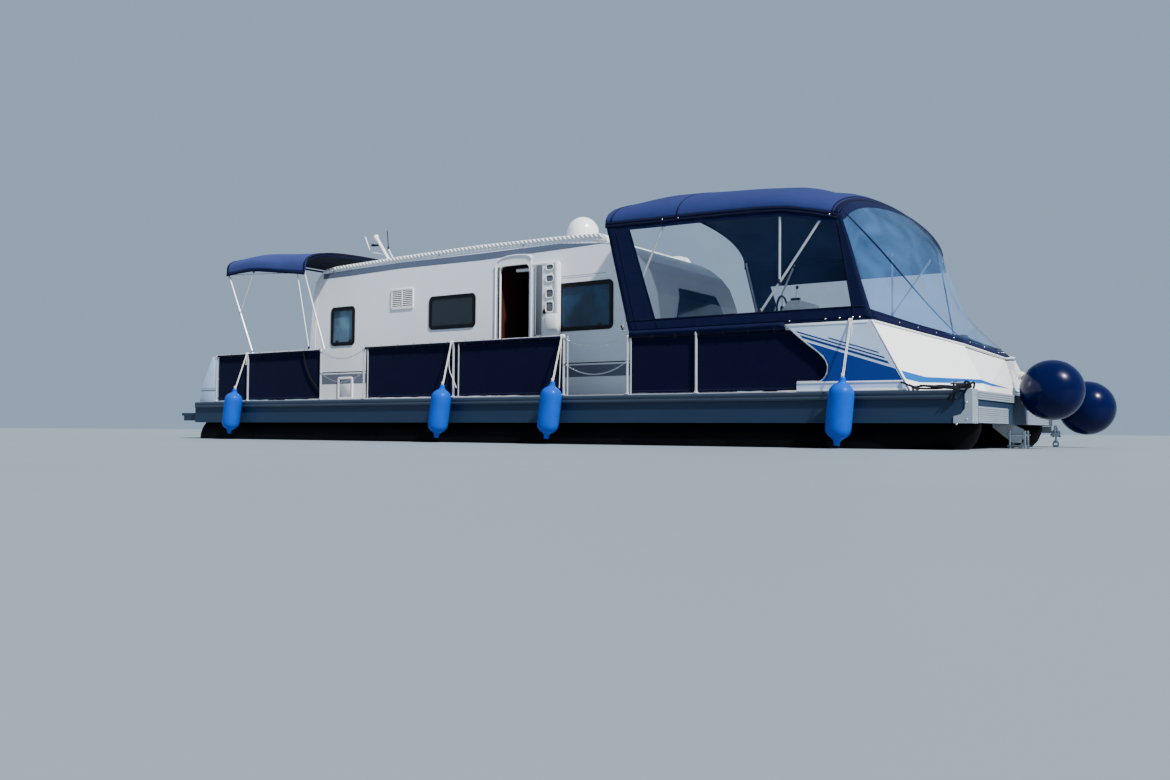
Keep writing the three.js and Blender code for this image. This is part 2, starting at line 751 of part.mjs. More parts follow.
function archRing(d, lean, hem, crown) {
  const outer = [];
  const inner = [];
  for (let i = 0; i <= ARCH_STEPS; i++) {
    const angle = (i / ARCH_STEPS) * Math.PI;
    const place = d + lean * Math.sin(angle);
    outer.push(at(place, ...archPoint(angle, hem, crown, 0)));
    inner.push(at(place, ...archPoint(angle, hem, crown, CANOPY_CLOTH)));
  }
  return [...outer, ...inner.reverse()];
}

add(
  "canopy_roof",
  loft([
    ...ARCHES.map(([d, hem, crown, lean]) => archRing(d, lean, hem, crown)),
    archRing(FRONT_ARCH.d, FRONT_ARCH.lean, FRONT_ARCH.hem, FRONT_ARCH.crown),
  ]),
  CANOPY_CLOTH_BLUE,
);

const CANOPY_SIDE_LOW = 768;
const CANOPY_SIDE = [
  ...ARCHES.map(([d, hem]) => [d, hem - 0.7]),
  [FRONT_ARCH.d + 2, FRONT_ARCH.hem - 0.7],
  [1062, CANOPY_SIDE_LOW],
  [4092, CANOPY_SIDE_LOW],
];
for (const [side, sign] of SIDES) {
  add(
    `canopy_side_${side}`,
    sideSlab(CANOPY_SIDE, sign * (CANOPY_Y - CANOPY_CLOTH), sign * CANOPY_Y),
    CLEAR_VINYL,
  );
}

// Canopy front: from the front arch down to the fairing's top edge
const FRONT_BULGE = 90;
const FRONT_SHEET_STEPS = 6;
const frontRows = [];
const FRONT_STATIONS = [
  // arch angle in degrees, low d, low y, low h
  [4, 1022, -1968, 770],
  [9, 276, -1060, 520],
  [40, 205, -560, 484],
  [90, 140, 0, 447],
  [140, 205, 560, 484],
  [171, 276, 1060, 520],
  [176, 1022, 1968, 770],
];
for (const [degrees, lowD, lowY, lowH] of FRONT_STATIONS) {
  const angle = THREE.MathUtils.degToRad(degrees);
  const [topY, topH] = archPoint(angle, FRONT_ARCH.hem - 4, FRONT_ARCH.crown - 4, 0);
  const topD = FRONT_ARCH.d + FRONT_ARCH.lean * Math.sin(angle) - CANOPY_CLOTH - 2;
  const bulge = FRONT_BULGE * Math.sin(angle);
  const outer = [];
  const inner = [];
  for (let i = 0; i <= FRONT_SHEET_STEPS; i++) {
    const share = i / FRONT_SHEET_STEPS;
    const swell = bulge * Math.sin(share * Math.PI);
    const d = topD + (lowD - topD) * share - swell;
    const y = topY + (lowY - topY) * share;
    const h = topH + (lowH - topH) * share + swell * 0.6;
    outer.push(at(d, y, h));
    inner.push(at(d + CANOPY_CLOTH, y * 0.996, h - 2));
  }
  frontRows.push([...outer, ...inner.reverse()]);
}
add("canopy_front", loft(frontRows), CLEAR_VINYL);

// Canopy frame: three hoops and their braces, standing on two base rails
const FRAME_TUBE = 14;
const FRAME_INSET = CANOPY_CLOTH + FRAME_TUBE + 0.8;
const FRAME_Y = CANOPY_Y - FRAME_INSET;
const FRAME_BASE_H = 800;

function hoop(d, lean, hem, crown, footD, footH) {
  const places = [at(footD, -FRAME_Y, footH)];
  for (let i = 0; i <= ARCH_STEPS; i++) {
    const angle = (i / ARCH_STEPS) * Math.PI;
    const [y, h] = archPoint(angle, hem, crown, FRAME_INSET);
    places.push(at(d + lean * Math.sin(angle), y, h - 10));
  }
  places.push(at(footD, FRAME_Y, footH));
  return tube(places, FRAME_TUBE, 8);
}

const canopyFrame = [
  hoop(4400, 0, 2174, 2636, 4060, FRAME_BASE_H),
  hoop(2095, 0, 2105, 2568, 2100, 1247),
  hoop(1560, -30, 1992, 2408, 2330, 930),
];
for (const [, sign] of SIDES) {
  const y = sign * FRAME_Y;
  canopyFrame.push(bar(at(2330, y, 930), at(2430, y, FRAME_BASE_H), FRAME_TUBE));
  canopyFrame.push(bar(at(3598, y, 2100), at(4220, y, FRAME_BASE_H), FRAME_TUBE));
  canopyFrame.push(bar(at(4360, y, 2130), at(2095, y, 2065), 9));
  canopyFrame.push(bar(at(1130, y, FRAME_BASE_H), at(4230, y, FRAME_BASE_H), 13));
  for (const [d, h] of [
    [1250, 762.6],
    [1900, 762.6],
    [2070, 742.6],
    [3160, 742.6],
    [4100, 742.6],
  ]) {
    canopyFrame.push(bar(at(d, sign * (FRAME_Y + 4), h), at(d, sign * (FRAME_Y + 4), FRAME_BASE_H), 9));
  }
}
add("canopy_frame", join(canopyFrame), ALUMINIUM);

// Helm: a console with a wheel that faces aft
const WHEEL = { d: 2935, y: 0, h: 1195, radius: 165 };
add(
  "helm_console",
  join(
    sideSlab(
      [
        [2500, GAP],
        [2860, GAP],
        [2880, 1020],
        [2700, 1250],
        [2560, 1250],
        [2480, 900],
      ],
      -330,
      330,
    ),
    bar(at(2700, 0, WHEEL.h), at(WHEEL.d - 15.5, 0, WHEEL.h), 24, 12),
  ),
  WHITE_PLASTIC,
);

const wheelGroup = new THREE.Group();
wheelGroup.position.copy(at(WHEEL.d, WHEEL.y, WHEEL.h));
boat.add(wheelGroup);
const rimCurve = new THREE.TorusGeometry(WHEEL.radius, 14, 6, 20);
const wheelPieces = [solid(rimCurve)];
for (let i = 0; i < 3; i++) {
  const angle = Math.PI / 2 + (i * 2 * Math.PI) / 3;
  wheelPieces.push(
    bar(
      new THREE.Vector3(0, 0, 0),
      new THREE.Vector3(Math.cos(angle) * WHEEL.radius, Math.sin(angle) * WHEEL.radius, 0),
      9,
    ),
  );
}
wheelPieces.push(bar(new THREE.Vector3(0, 0, -15), new THREE.Vector3(0, 0, 15), 34, 16));
const wheel = add("helm_wheel", join(wheelPieces), BLACK_PLASTIC, wheelGroup);
wheel.rotation.y = Math.PI / 2;

// Side railings: posts, a top rail and a foot rail that runs on across the gates. At the stern each
// carries a raked end panel and a mooring cleat.
const RAIL_RUNS = [
  // first d, last d, top height, posts
  [12290, 9700, RAIL_HEIGHT, [12285, 11465, 9705]],
  [8765, 5085, RAIL_HEIGHT, [8760, 6985, 5090]],
  [4125, 1996, RAIL_HEIGHT_FORE, [4120, 3160]],
];
const FOOT_RAIL = 12;
const STERN_PANEL = [
  [12280, 764],
  [12400, 764],
  [12700, 210],
  [12730, 4],
  [12280, 4],
];
for (const [side, sign] of SIDES) {
  const y = sign * RAIL_Y;
  const pieces = [block(2050, 12310, y - sign * 20, y + sign * 18, GAP, FOOT_RAIL)];
  for (const [first, last, top, posts] of RAIL_RUNS) {
    pieces.push(bar(at(first, y, top - POST), at(last, y, top - POST), POST));
    for (const d of posts) {
      pieces.push(bar(at(d, y, 2), at(d, y, top - POST), POST));
    }
  }
  pieces.push(sideSlab(STERN_PANEL, y - sign * 6, y + sign * 8));
  pieces.push(block(LENGTH - 400, LENGTH - 180, sign * 1800, y, GAP, 10));
  pieces.push(cleat(LENGTH - 290, sign * 1845));
  add(`railing_${side}`, join(pieces), ALUMINIUM);
}

// Stern: a railing across with a gap for the boarding ladder, and end panels at the corners
const STERN_RAIL_D = 12700;
const sternPieces = [block(STERN_RAIL_D - 20, STERN_RAIL_D + 20, -1700, 1700, GAP, FOOT_RAIL)];
for (const [, sign] of SIDES) {
  for (const y of [1660, 1050, 420]) {
    sternPieces.push(bar(at(STERN_RAIL_D, sign * y, 2), at(STERN_RAIL_D, sign * y, RAIL_HEIGHT - POST), POST));
  }
  for (const h of [RAIL_HEIGHT - POST, RAIL_HEIGHT / 2]) {
    sternPieces.push(bar(at(STERN_RAIL_D, sign * 420, h), at(STERN_RAIL_D, sign * 1660, h), POST));
  }
}
add("railing_stern", join(sternPieces), ALUMINIUM);

// Cloth infill, laced to the inside of the posts
const CLOTHS = [
  // name, d0, d1, high h
  ["aft", 9710, 12260, RAIL_HEIGHT - 36],
  ["mid", 5110, 8740, RAIL_HEIGHT - 36],
  ["fore", 1500, 4100, RAIL_HEIGHT_FORE - 36],
];
for (const [side, sign] of SIDES) {
  for (const [place, d0, d1, high] of CLOTHS) {
    const inner = RAIL_Y - POST - GAP;
    add(
      `cloth_${place}_${side}`,
      block(d0, d1, sign * (inner - 6), sign * inner, 20, high),
      NAVY_CLOTH,
    );
  }
}

// Stern sun top: arches of distance aft, hem height and crown height, on four legs
const SUN_TOP_Y = 1900;
const SUN_ARCHES = [
  [12160, 2165, 2545],
  [11500, 2190, 2560],
  [10800, 2115, 2500],
  [10180, 2037, 2450],
];
const SUN_CLOTH = 8;
const SUN_TUBE = 12;

function sunPoint(angle, hem, crown, inset) {
  const square = (value) => Math.sign(value) * Math.abs(value) ** 0.55;
  return [
    -(SUN_TOP_Y - inset) * square(Math.cos(angle)),
    hem + (crown - hem - inset) * square(Math.sin(angle)),
  ];
}

function sunRing([d, hem, crown]) {
  const outer = [];
  const inner = [];
  for (let i = 0; i <= ARCH_STEPS; i++) {
    const angle = (i / ARCH_STEPS) * Math.PI;
    outer.push(at(d, ...sunPoint(angle, hem, crown, 0)));
    inner.push(at(d, ...sunPoint(angle, hem, crown, SUN_CLOTH)));
  }
  return [...outer, ...inner.reverse()];
}
add("sun_top", loft(SUN_ARCHES.map(sunRing)), CANOPY_CLOTH_BLUE);

function sunHoop(d, footD, footH) {
  const next = SUN_ARCHES.findIndex(([place]) => place <= d);
  const [d0, hem0, crown0] = SUN_ARCHES[next - 1];
  const [d1, hem1, crown1] = SUN_ARCHES[next];
  const share = (d - d0) / (d1 - d0);
  const hem = hem0 + (hem1 - hem0) * share;
  const crown = crown0 + (crown1 - crown0) * share;
  const inset = SUN_CLOTH + SUN_TUBE + 1;
  const places = [at(footD, -SUN_FRAME_Y, footH)];
  for (let i = 0; i <= ARCH_STEPS; i++) {
    places.push(at(d, ...sunPoint((i / ARCH_STEPS) * Math.PI, hem, crown, inset)));
  }
  places.push(at(footD, SUN_FRAME_Y, footH));
  return tube(places, SUN_TUBE, 8);
}

const SUN_FRAME_Y = SUN_TOP_Y - SUN_CLOTH - SUN_TUBE - 1;
const SUN_BASE_H = 795;
const sunFrame = [sunHoop(12130, 11460, SUN_BASE_H), sunHoop(10220, 9730, SUN_BASE_H)];
for (const [, sign] of SIDES) {
  const y = sign * SUN_FRAME_Y;
  sunFrame.push(bar(at(11474, y, 2150), at(11800, y, 1480), 11));
  sunFrame.push(bar(at(10400, y, 2050), at(10082, y, SUN_BASE_H), 11));
  sunFrame.push(bar(at(12120, y, 2140), at(10225, y, 2030), 10));
  sunFrame.push(bar(at(9700, y, SUN_BASE_H), at(11490, y, SUN_BASE_H), 13));
  for (const d of [9720, 11465]) {
    sunFrame.push(bar(at(d, y, SUN_BASE_H), at(d, sign * 1943.8, 776), 9));
  }
}
add("sun_top_frame", join(sunFrame), ALUMINIUM);

// Fenders: cylinders with coned ends, each hung on a rope from the railing
const FENDER_RADIUS = 145;
const FENDER_Y = 2167.5;
const FENDERS = [
  // d, centre above the water, rope top d, y, h, degrees that the top leans to the bow
  [11585, 457, 11480, 1984, 765, 10],
  [7050, 430, 7010, 1984, 765, 8.5],
  [5165, 435, 5110, 1984, 765, 7.5],
  [1320, 398, 1260, 1993, 765, 5.5],
];
const FENDER_PROFILE = [
  // radius, height
  [0, -368],
  [34, -368],
  [40, -325],
  [120, -262],
  [145, -205],
  [145, 205],
  [120, 262],
  [40, 325],
  [34, 368],
  [0, 368],
];
for (const [side, sign] of SIDES) {
  FENDERS.forEach(([d, overWater, ropeD, ropeY, ropeH, lean], i) => {
    const leanAngle = THREE.MathUtils.degToRad(lean);
    const geometry = new THREE.LatheGeometry(
      FENDER_PROFILE.map(([r, z]) => new THREE.Vector2(r, z)),
      16,
    );
    geometry.rotateX(Math.PI / 2);
    geometry.rotateY(leanAngle);
    const centreH = overWater + WATERLINE - DECK;
    const centre = at(d, sign * FENDER_Y, centreH);
    geometry.translate(centre.x, centre.y, centre.z);
    const eye = at(d - 350 * Math.sin(leanAngle), sign * FENDER_Y, centreH + 350 * Math.cos(leanAngle));
    const ropeEnd = at(ropeD, sign * ropeY, ropeH);
    add(
      `fender_${side}_${i + 1}`,
      join(solid(geometry), bar(eye, ropeEnd, 7, 6)),
      FENDER_BLUE,
    );
  });
}

// Bow balls: round fenders that hang on ropes ahead of the prow
const BALL_RADIUS = 335;
const BALLS = [
  // name, d, y, h, rope top d, y, h
  ["bow_ball_centre", -380, 0, 58, 84, 0, 300],
  ["bow_ball_port", -437, 1930, -106, -5, 1925.9, 70],
];
for (const [name, d, y, h, ropeD, ropeY, ropeH] of BALLS) {
  const centre = at(d, y, h);
  const globe = ball(centre, BALL_RADIUS, 20, 12);
  const ropeEnd = at(ropeD, ropeY, ropeH);
  const along = ropeEnd.clone().sub(centre).normalize();
  const reach = (distance) => centre.clone().addScaledVector(along, distance);
  const neck = bar(reach(BALL_RADIUS - 12), reach(BALL_RADIUS + 60), 34, 10);
  const rope = bar(reach(BALL_RADIUS + 40), ropeEnd, 8, 6);
  add(name, join(globe, neck, rope), BALL_NAVY);
}

// Outboard motor: a clamp bracket on the stern fascia, a swivel that tilts in it, and the motor,
// which steers in the swivel
const STEER_D = 13050;
const TILT = { d: 12960, h: -90 };
const BRACKET_LOW = -330;
const BRACKET_HIGH = -68;
const STEER_SHAFT = 23;
const bracket = [
  block(LENGTH + GAP, LENGTH + 14, -84, 84, BRACKET_LOW, BRACKET_HIGH),
  bar(at(TILT.d, -80, TILT.h), at(TILT.d, 80, TILT.h), 9, 12),
];
for (const [, sign] of SIDES) {
  bracket.push(block(LENGTH + 5, TILT.d + 24, sign * 70, sign * 84, BRACKET_LOW, BRACKET_HIGH));
}
add("outboard_bracket", join(bracket), MOTOR_GREY);

const swivel = cut(
  join(
    block(TILT.d - 18, TILT.d + 18, -64, 64, TILT.h - 18, TILT.h + 16),
    block(TILT.d + 5, STEER_D, -25, 25, -300, TILT.h - 4),
    bar(at(STEER_D, 0, -300), at(STEER_D, 0, -92), 40, 16),
  ),
  join(
    bar(at(TILT.d, -100, TILT.h), at(TILT.d, 100, TILT.h), 9.7, 12),
    bar(at(STEER_D, 0, -400), at(STEER_D, 0, 0), STEER_SHAFT + 1, 16),
  ),
);
add("outboard_swivel", swivel, MOTOR_GREY);

const PROP = { d: 13200, h: -832, blade: 42, reach: 64 };
const COWL = [
  // front d, aft d, half width, h
  [13005, 13330, 96, -40],
  [12990, 13368, 126, 50],
  [12985, 13380, 132, 150],
  [13000, 13362, 118, 235],
  [13045, 13300, 80, 282],
];
const cowl = loft(
  COWL.map(([d0, d1, half, h]) =>
    Array.from({ length: 16 }, (_, i) => {
      const angle = (i / 16) * 2 * Math.PI;
      return at((d0 + d1) / 2 + ((d1 - d0) / 2) * Math.cos(angle), half * Math.sin(angle), h);
    }),
  ),
);
const LEG = [
  [13012, -336],
  [13130, -336],
  [13138, -640],
  [13150, -690],
  [13290, -700],
  [13290, -712],
  [13150, -720],
  [13142, -770],
  [13158, -800],
  [13158, -860],
  [13105, -880],
  [13092, -948],
  [13045, -955],
  [13030, -880],
  [12978, -850],
  [12978, -810],
  [13028, -770],
  [13018, -700],
];
const leg = join(
  bar(at(STEER_D, 0, -380), at(STEER_D, 0, -30), STEER_SHAFT, 14),
  bar(at(STEER_D, 0, -380), at(STEER_D, 0, -320), 44, 14),
  sideSlab(LEG, -22, 22),
  bar(at(12960, 0, PROP.h), at(13158, 0, PROP.h), 38, 12),
);
add("outboard_motor", join(cowl, leg), MOTOR_GREY);

const propPieces = [bar(at(13158.6, 0, PROP.h), at(13240, 0, PROP.h), 28, 12)];
for (let i = 0; i < 3; i++) {
  const blade = new THREE.CylinderGeometry(PROP.blade, PROP.blade, 6, 14);
  blade.rotateZ(Math.PI / 2);
  blade.rotateZ(0.45);
  blade.translate(0, 0, PROP.reach);
  blade.rotateX((i * 2 * Math.PI) / 3);
  const hub = at(PROP.d, 0, PROP.h);
  blade.translate(hub.x, hub.y, hub.z);
  propPieces.push(solid(blade));
}
add("propeller", join(propPieces), MOTOR_GREY);

// Boarding ladder, folded up over the port stern step and hinged in its two ears
const ladder = [
  bar(
    at(LADDER.d, LADDER.y - LADDER.half - 5, LADDER.h),
    at(LADDER.d, LADDER.y + LADDER.half + 5, LADDER.h),
    9,
  ),
];
for (const side of [-1, 1]) {
  const y = LADDER.y + side * LADDER.half;
  ladder.push(bar(at(LADDER.d, y, LADDER.h), at(LADDER.d, y, LADDER.h + LADDER.length), 13));
}
for (const share of [0.22, 0.48, 0.74, 0.985]) {
  const h = LADDER.h + LADDER.length * share;
  ladder.push(bar(at(LADDER.d, LADDER.y - LADDER.half, h), at(LADDER.d, LADDER.y + LADDER.half, h), 12));
}
add("boarding_ladder", join(ladder), STEEL);

export default boat;
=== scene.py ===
# %% [markdown]
# # A houseboat in Blender
# The real boat is a caravan body on a raft with two round floats. This lesson dresses its packed
# construction model: each step says what a piece is on the real boat, how it could be made, and why
# this way was chosen. The construction model stays where it is, and the looks are made round it.

# %% Load the frame
from math import copysign, cos, exp, pi, radians, sin, tau

import bmesh
import bpy
from mathutils import Euler, Matrix, Quaternion, Vector


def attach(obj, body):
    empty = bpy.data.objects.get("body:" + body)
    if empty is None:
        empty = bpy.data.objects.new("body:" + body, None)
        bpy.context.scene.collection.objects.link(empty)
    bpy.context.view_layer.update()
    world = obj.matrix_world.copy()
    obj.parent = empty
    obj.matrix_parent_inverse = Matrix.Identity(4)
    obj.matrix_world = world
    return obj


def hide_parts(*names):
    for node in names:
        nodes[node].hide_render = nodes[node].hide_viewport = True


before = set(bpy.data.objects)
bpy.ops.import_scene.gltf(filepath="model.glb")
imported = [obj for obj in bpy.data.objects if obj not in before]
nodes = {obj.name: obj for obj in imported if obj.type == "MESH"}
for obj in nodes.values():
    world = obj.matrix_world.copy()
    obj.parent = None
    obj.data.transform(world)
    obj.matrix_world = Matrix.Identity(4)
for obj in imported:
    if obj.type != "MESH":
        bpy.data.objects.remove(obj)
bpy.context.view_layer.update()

# %% [markdown]
# Places on the boat are easiest to say as a carpenter would: so far aft of the bow edge, so far to
# port of the centreline, so high over the deck. One function turns these three into a point.

# %% Places
BOW = 6.304  # the raft's bow edge
DECK = 1.016  # the deck surface
WATERLINE = 0.4
STARBOARD, PORT = -1, 1
SIDES = (("starboard", STARBOARD), ("port", PORT))
ALONG, ACROSS, UP = Vector((1, 0, 0)), Vector((0, 1, 0)), Vector((0, 0, 1))


def at(d, y, h):
    return Vector((BOW - d, y, DECK + h))


print("deck at", DECK, "waterline at", WATERLINE)

# %% [markdown]
# The camera stands low, off the starboard bow, and looks a little upward. It is made
# first, because everything is judged through it.

# %% Camera
CAMERA_PLACE = Vector((9.049, -12.804, 0.575))
HEADING = radians(34.67)
PITCH = radians(2.24)
ROLL = radians(0.37)

ahead = Vector((-sin(HEADING), cos(HEADING), 0))
across = Vector((cos(HEADING), sin(HEADING), 0))
look = ahead * cos(PITCH) + UP * sin(PITCH)
top = UP * cos(PITCH) - ahead * sin(PITCH)
right = across * cos(ROLL) + top * sin(ROLL)
top = top * cos(ROLL) - across * sin(ROLL)
camera_data = bpy.data.cameras.new("camera")
camera_data.lens = 32.0
camera_data.sensor_width = 36.0
camera_data.clip_end = 500.0
camera = bpy.data.objects.new("camera", camera_data)
turn = Matrix((right, top, -look)).transposed().to_4x4()
camera.matrix_world = Matrix.Translation(CAMERA_PLACE) @ turn
bpy.context.collection.objects.link(camera)
bpy.context.scene.camera = camera
print("camera at", tuple(CAMERA_PLACE))

# %% [markdown]
# Colours are written as the eye knows them, in sRGB hex, and turned to linear light by one function.
# One more function adds a node to a material, with its settings and its links.

# %% Colour and node helpers


def colour(hex_code):
    channels = [int(hex_code[i : i + 2], 16) / 255 for i in (1, 3, 5)]
    linear = [c / 12.92 if c <= 0.04045 else ((c + 0.055) / 1.055) ** 2.4 for c in channels]
    return (*linear, 1.0)


def add(material, kind, inputs=None, **settings):
    """A node. An input takes a value, or a pair of a node and its output for a link."""
    tree = material.node_tree
    node = tree.nodes.new("ShaderNode" + kind)
    for name, value in settings.items():
        setattr(node, name, value)
    for name, value in (inputs or {}).items():
        if isinstance(value, tuple) and isinstance(value[0], bpy.types.Node):
            tree.links.new(value[0].outputs[value[1]], node.inputs[name])
        else:
            node.inputs[name].default_value = value
    return node


def blank(name):
    material = bpy.data.materials.new(name)
    material.use_nodes = True
    material.node_tree.nodes.clear()
    return material


MIX_A, MIX_B, MIXED = 6, 7, 2  # the colour sockets of a Mix node

# %% [markdown]
# Most surfaces of the boat share one build-up: a base colour that drifts to a second one in patches,
# as dirt and sun leave it, a grain that catches the light, and a roughness that drifts with the
# patches. The real sizes differ, so each finish gives its patch and grain in millimetres.

# %% A weathered surface
MM = 0.001


def weathered(name, base, worn, roughness, patch_mm, grain_mm, depth_mm, **more):
    """A finish with patches and grain. more holds metallic, coat, specular, worn_share, stretch."""
    material = blank(name)
    where = add(material, "TexCoord")
    stretch = more.get("stretch", (1, 1, 1))
    laid = add(material, "Mapping", {"Vector": (where, "Object"), "Scale": stretch})
    patches = add(
        material,
        "TexNoise",
        {"Vector": (laid, "Vector"), "Scale": 1 / (patch_mm * MM), "Detail": 5.0, "Roughness": 0.6},
    )
    share = add(
        material,
        "MapRange",
        {"Value": (patches, 0), "From Min": 0.38, "From Max": 0.72, "To Max": more.get("worn_share", 0.5)},
    )
    tint = add(material, "Mix", {0: (share, 0), MIX_A: colour(base), MIX_B: colour(worn)}, data_type="RGBA")
    grain = add(
        material,
        "TexNoise",
        {"Vector": (where, "Object"), "Scale": 1 / (grain_mm * MM), "Detail": 3.0},
    )
    relief = add(material, "Bump", {"Height": (grain, 0), "Strength": 0.35, "Distance": depth_mm * MM})
    gloss = add(
        material,
        "MapRange",
        {"Value": (patches, 0), "To Min": max(0.02, roughness - 0.1), "To Max": min(1.0, roughness + 0.12)},
    )
    shader = add(
        material,
        "BsdfPrincipled",
        {
            "Base Color": (tint, MIXED),
            "Roughness": (gloss, 0),
            "Metallic": more.get("metallic", 0.0),
            "Coat Weight": more.get("coat", 0.0),
            "Specular IOR Level": more.get("specular", 0.5),
            "Normal": (relief, 0),
        },
    )
    add(material, "OutputMaterial", {"Surface": (shader, 0)})
    return material


# %% [markdown]
# The hard finishes. Moulded polyethylene is black and waxy; the raft's steel is painted slate blue;
# corner plates and bulwarks are pale grey paint; tubes are anodised aluminium, which stays bright with a
# satin sheen; the prow is gelcoat, a polyester skin with a deep gloss. Dark finishes get a low specular
# level, because dust and wear take the mirror off them.

# %% Hard finishes
POLYETHYLENE = weathered(
    "moulded_polyethylene", "#050508", "#0c0b0e", 0.6, 420, 9, 0.5, worn_share=0.8, specular=0.05
)
SLATE_PAINT = weathered(
    "slate_marine_paint", "#1d3048", "#18283c", 0.45, 300, 14, 0.3, stretch=(0.35, 1, 1.6), specular=0.25
)
RAIL_PAINT = weathered(
    "faded_rub_rail_pvc", "#2b3747", "#384555", 0.45, 260, 8, 0.3, stretch=(0.25, 1, 3), specular=0.3
)
PALE_PAINT = weathered("pale_grey_paint", "#c0d2ee", "#a8bbd8", 0.38, 240, 10, 0.2, coat=0.1)
CORNER_PAINT = weathered("light_grey_corner_paint", "#929dab", "#7f8a98", 0.38, 240, 10, 0.2, coat=0.1)
CARAVAN_SKIN = weathered(
    "stucco_painted_aluminium", "#f0f3fc", "#e6ebf6", 0.4, 900, 7, 0.7, stretch=(1.5, 1, 0.4), specular=0.3
)
CARAVAN_WHITE = weathered("white_painted_aluminium", "#eef0f4", "#d6dae0", 0.3, 500, 12, 0.2, coat=0.2)
BAND_BLUE = weathered("grey_blue_vinyl_band", "#5d687e", "#667084", 0.35, 400, 20, 0.1, specular=0.3)
BAND_GREY = weathered("slate_vinyl_stripe", "#6a6f82", "#72788a", 0.35, 400, 20, 0.1, specular=0.3)
WHITE_ABS = weathered("white_abs_moulding", "#f2f3f4", "#dfe1e3", 0.28, 180, 6, 0.1, coat=0.15)
GREY_MESH = weathered("grey_screen_mesh", "#565b64", "#666b73", 0.7, 120, 2, 0.3, stretch=(6, 1, 1))
BLACK_ABS = weathered("black_abs_frame", "#08080b", "#121217", 0.4, 150, 4, 0.15, specular=0.25)
RUBBER = weathered("black_rubber", "#07070a", "#111114", 0.7, 60, 3, 0.2, specular=0.2)
ALUMINIUM = weathered("anodised_aluminium", "#cbcfd5", "#b3b8bf", 0.34, 90, 3, 0.05, metallic=0.5)
GALVANISED = weathered(
    "galvanised_steel", "#cdd4da", "#abb4bc", 0.42, 26, 6, 0.12, metallic=0.3, worn_share=0.9
)
STAINLESS = weathered("stainless_steel", "#d4d7da", "#c2c6ca", 0.18, 70, 3, 0.03, metallic=1.0)
GELCOAT = weathered("white_gelcoat", "#fdfdfd", "#f2f4f6", 0.16, 520, 40, 0.1, coat=0.5)
CYAN_VINYL = weathered("cyan_vinyl_stripe", "#0058a8", "#004e98", 0.35, 300, 30, 0.05, specular=0.1)
ROYAL_VINYL = weathered("royal_blue_vinyl", "#042f80", "#032a74", 0.3, 300, 30, 0.05, specular=0.3)
DEEP_VINYL = weathered("deep_blue_vinyl", "#0b2f6e", "#0a295f", 0.3, 300, 30, 0.05, specular=0.3)
FENDER_PVC = weathered(
    "bright_blue_fender_pvc", "#004cb8", "#00419e", 0.34, 160, 9, 0.1, coat=0.02, specular=0.1
)
BALL_PVC = weathered("navy_buoy_pvc", "#010838", "#01062c", 0.22, 200, 16, 0.06, coat=0.06, specular=0.1)
ROPE_WHITE = weathered("white_polyester_rope", "#e3e1dc", "#c9c5bc", 0.75, 30, 2.2, 1.2)
ROPE_DARK = weathered("dark_braided_rope", "#15161e", "#23242c", 0.8, 30, 2.2, 1.2, specular=0.2)
MOTOR_PAINT = weathered("dark_motor_paint", "#1b1e22", "#272a2f", 0.3, 120, 8, 0.05, coat=0.4)
OAK_LAMINATE = weathered("oak_laminate", "#7c5c38", "#684b2c", 0.45, 60, 4, 0.15, stretch=(0.3, 1, 4))
CABIN_BROWN = weathered("red_brown_cabin_panel", "#38160f", "#28100b", 0.55, 200, 10, 0.2, specular=0.2)
print("hard finishes made")

# %% [markdown]
# Cloth is woven. The real threads of canvas are under a millimetre apart, too fine to show from ten
# metres, so the weave is drawn as coarse as it needs to show, with a thread every 20 mm. It follows
# the sheet's own UV map, which holds metres, so that it bends with the cloth. A little sheen gives
# the soft edge light of acrylic.

# %% Woven cloth
WEAVE_MM = 20.106


def wave_scale(period_mm):
    """The scale of a wave texture that repeats at a distance. Its own period is a twentieth of a turn."""
    return tau / 20 / (period_mm * MM)


def woven(name, base, worn, sheen, patch_mm=350):
    material = blank(name)
    where = add(material, "TexCoord")
    patches = add(
        material,
        "TexNoise",
        {"Vector": (where, "Object"), "Scale": 1 / (patch_mm * MM), "Detail": 4.0, "Roughness": 0.65},
    )
    tint = add(
        material,
        "Mix",
        {0: (patches, 0), MIX_A: colour(base), MIX_B: colour(worn)},
        data_type="RGBA",
    )
    heights = []
    for direction in ("X", "Y"):
        heights.append(
            add(
                material,
                "TexWave",
                {"Vector": (where, "UV"), "Scale": wave_scale(WEAVE_MM), "Distortion": 0.4},
                bands_direction=direction,
            )
        )
    weave = add(material, "Math", {0: (heights[0], 1), 1: (heights[1], 1)}, operation="MAXIMUM")
    relief = add(material, "Bump", {"Height": (weave, 0), "Strength": 0.3, "Distance": 0.6 * MM})
    folds = add(material, "TexNoise", {"Vector": (where, "Object"), "Scale": 1 / 0.19, "Detail": 2.0})
    soft = add(
        material,
        "Bump",
        {"Height": (folds, 0), "Strength": 0.5, "Distance": 12 * MM, "Normal": (relief, 0)},
    )
    shader = add(
        material,
        "BsdfPrincipled",
        {
            "Base Color": (tint, MIXED),
            "Roughness": 0.86,
            "Sheen Weight": sheen,
            "Sheen Roughness": 0.4,
            "Specular IOR Level": 0.1,
            "Normal": (soft, 0),
        },
    )
    add(material, "OutputMaterial", {"Surface": (shader, 0)})
    return material


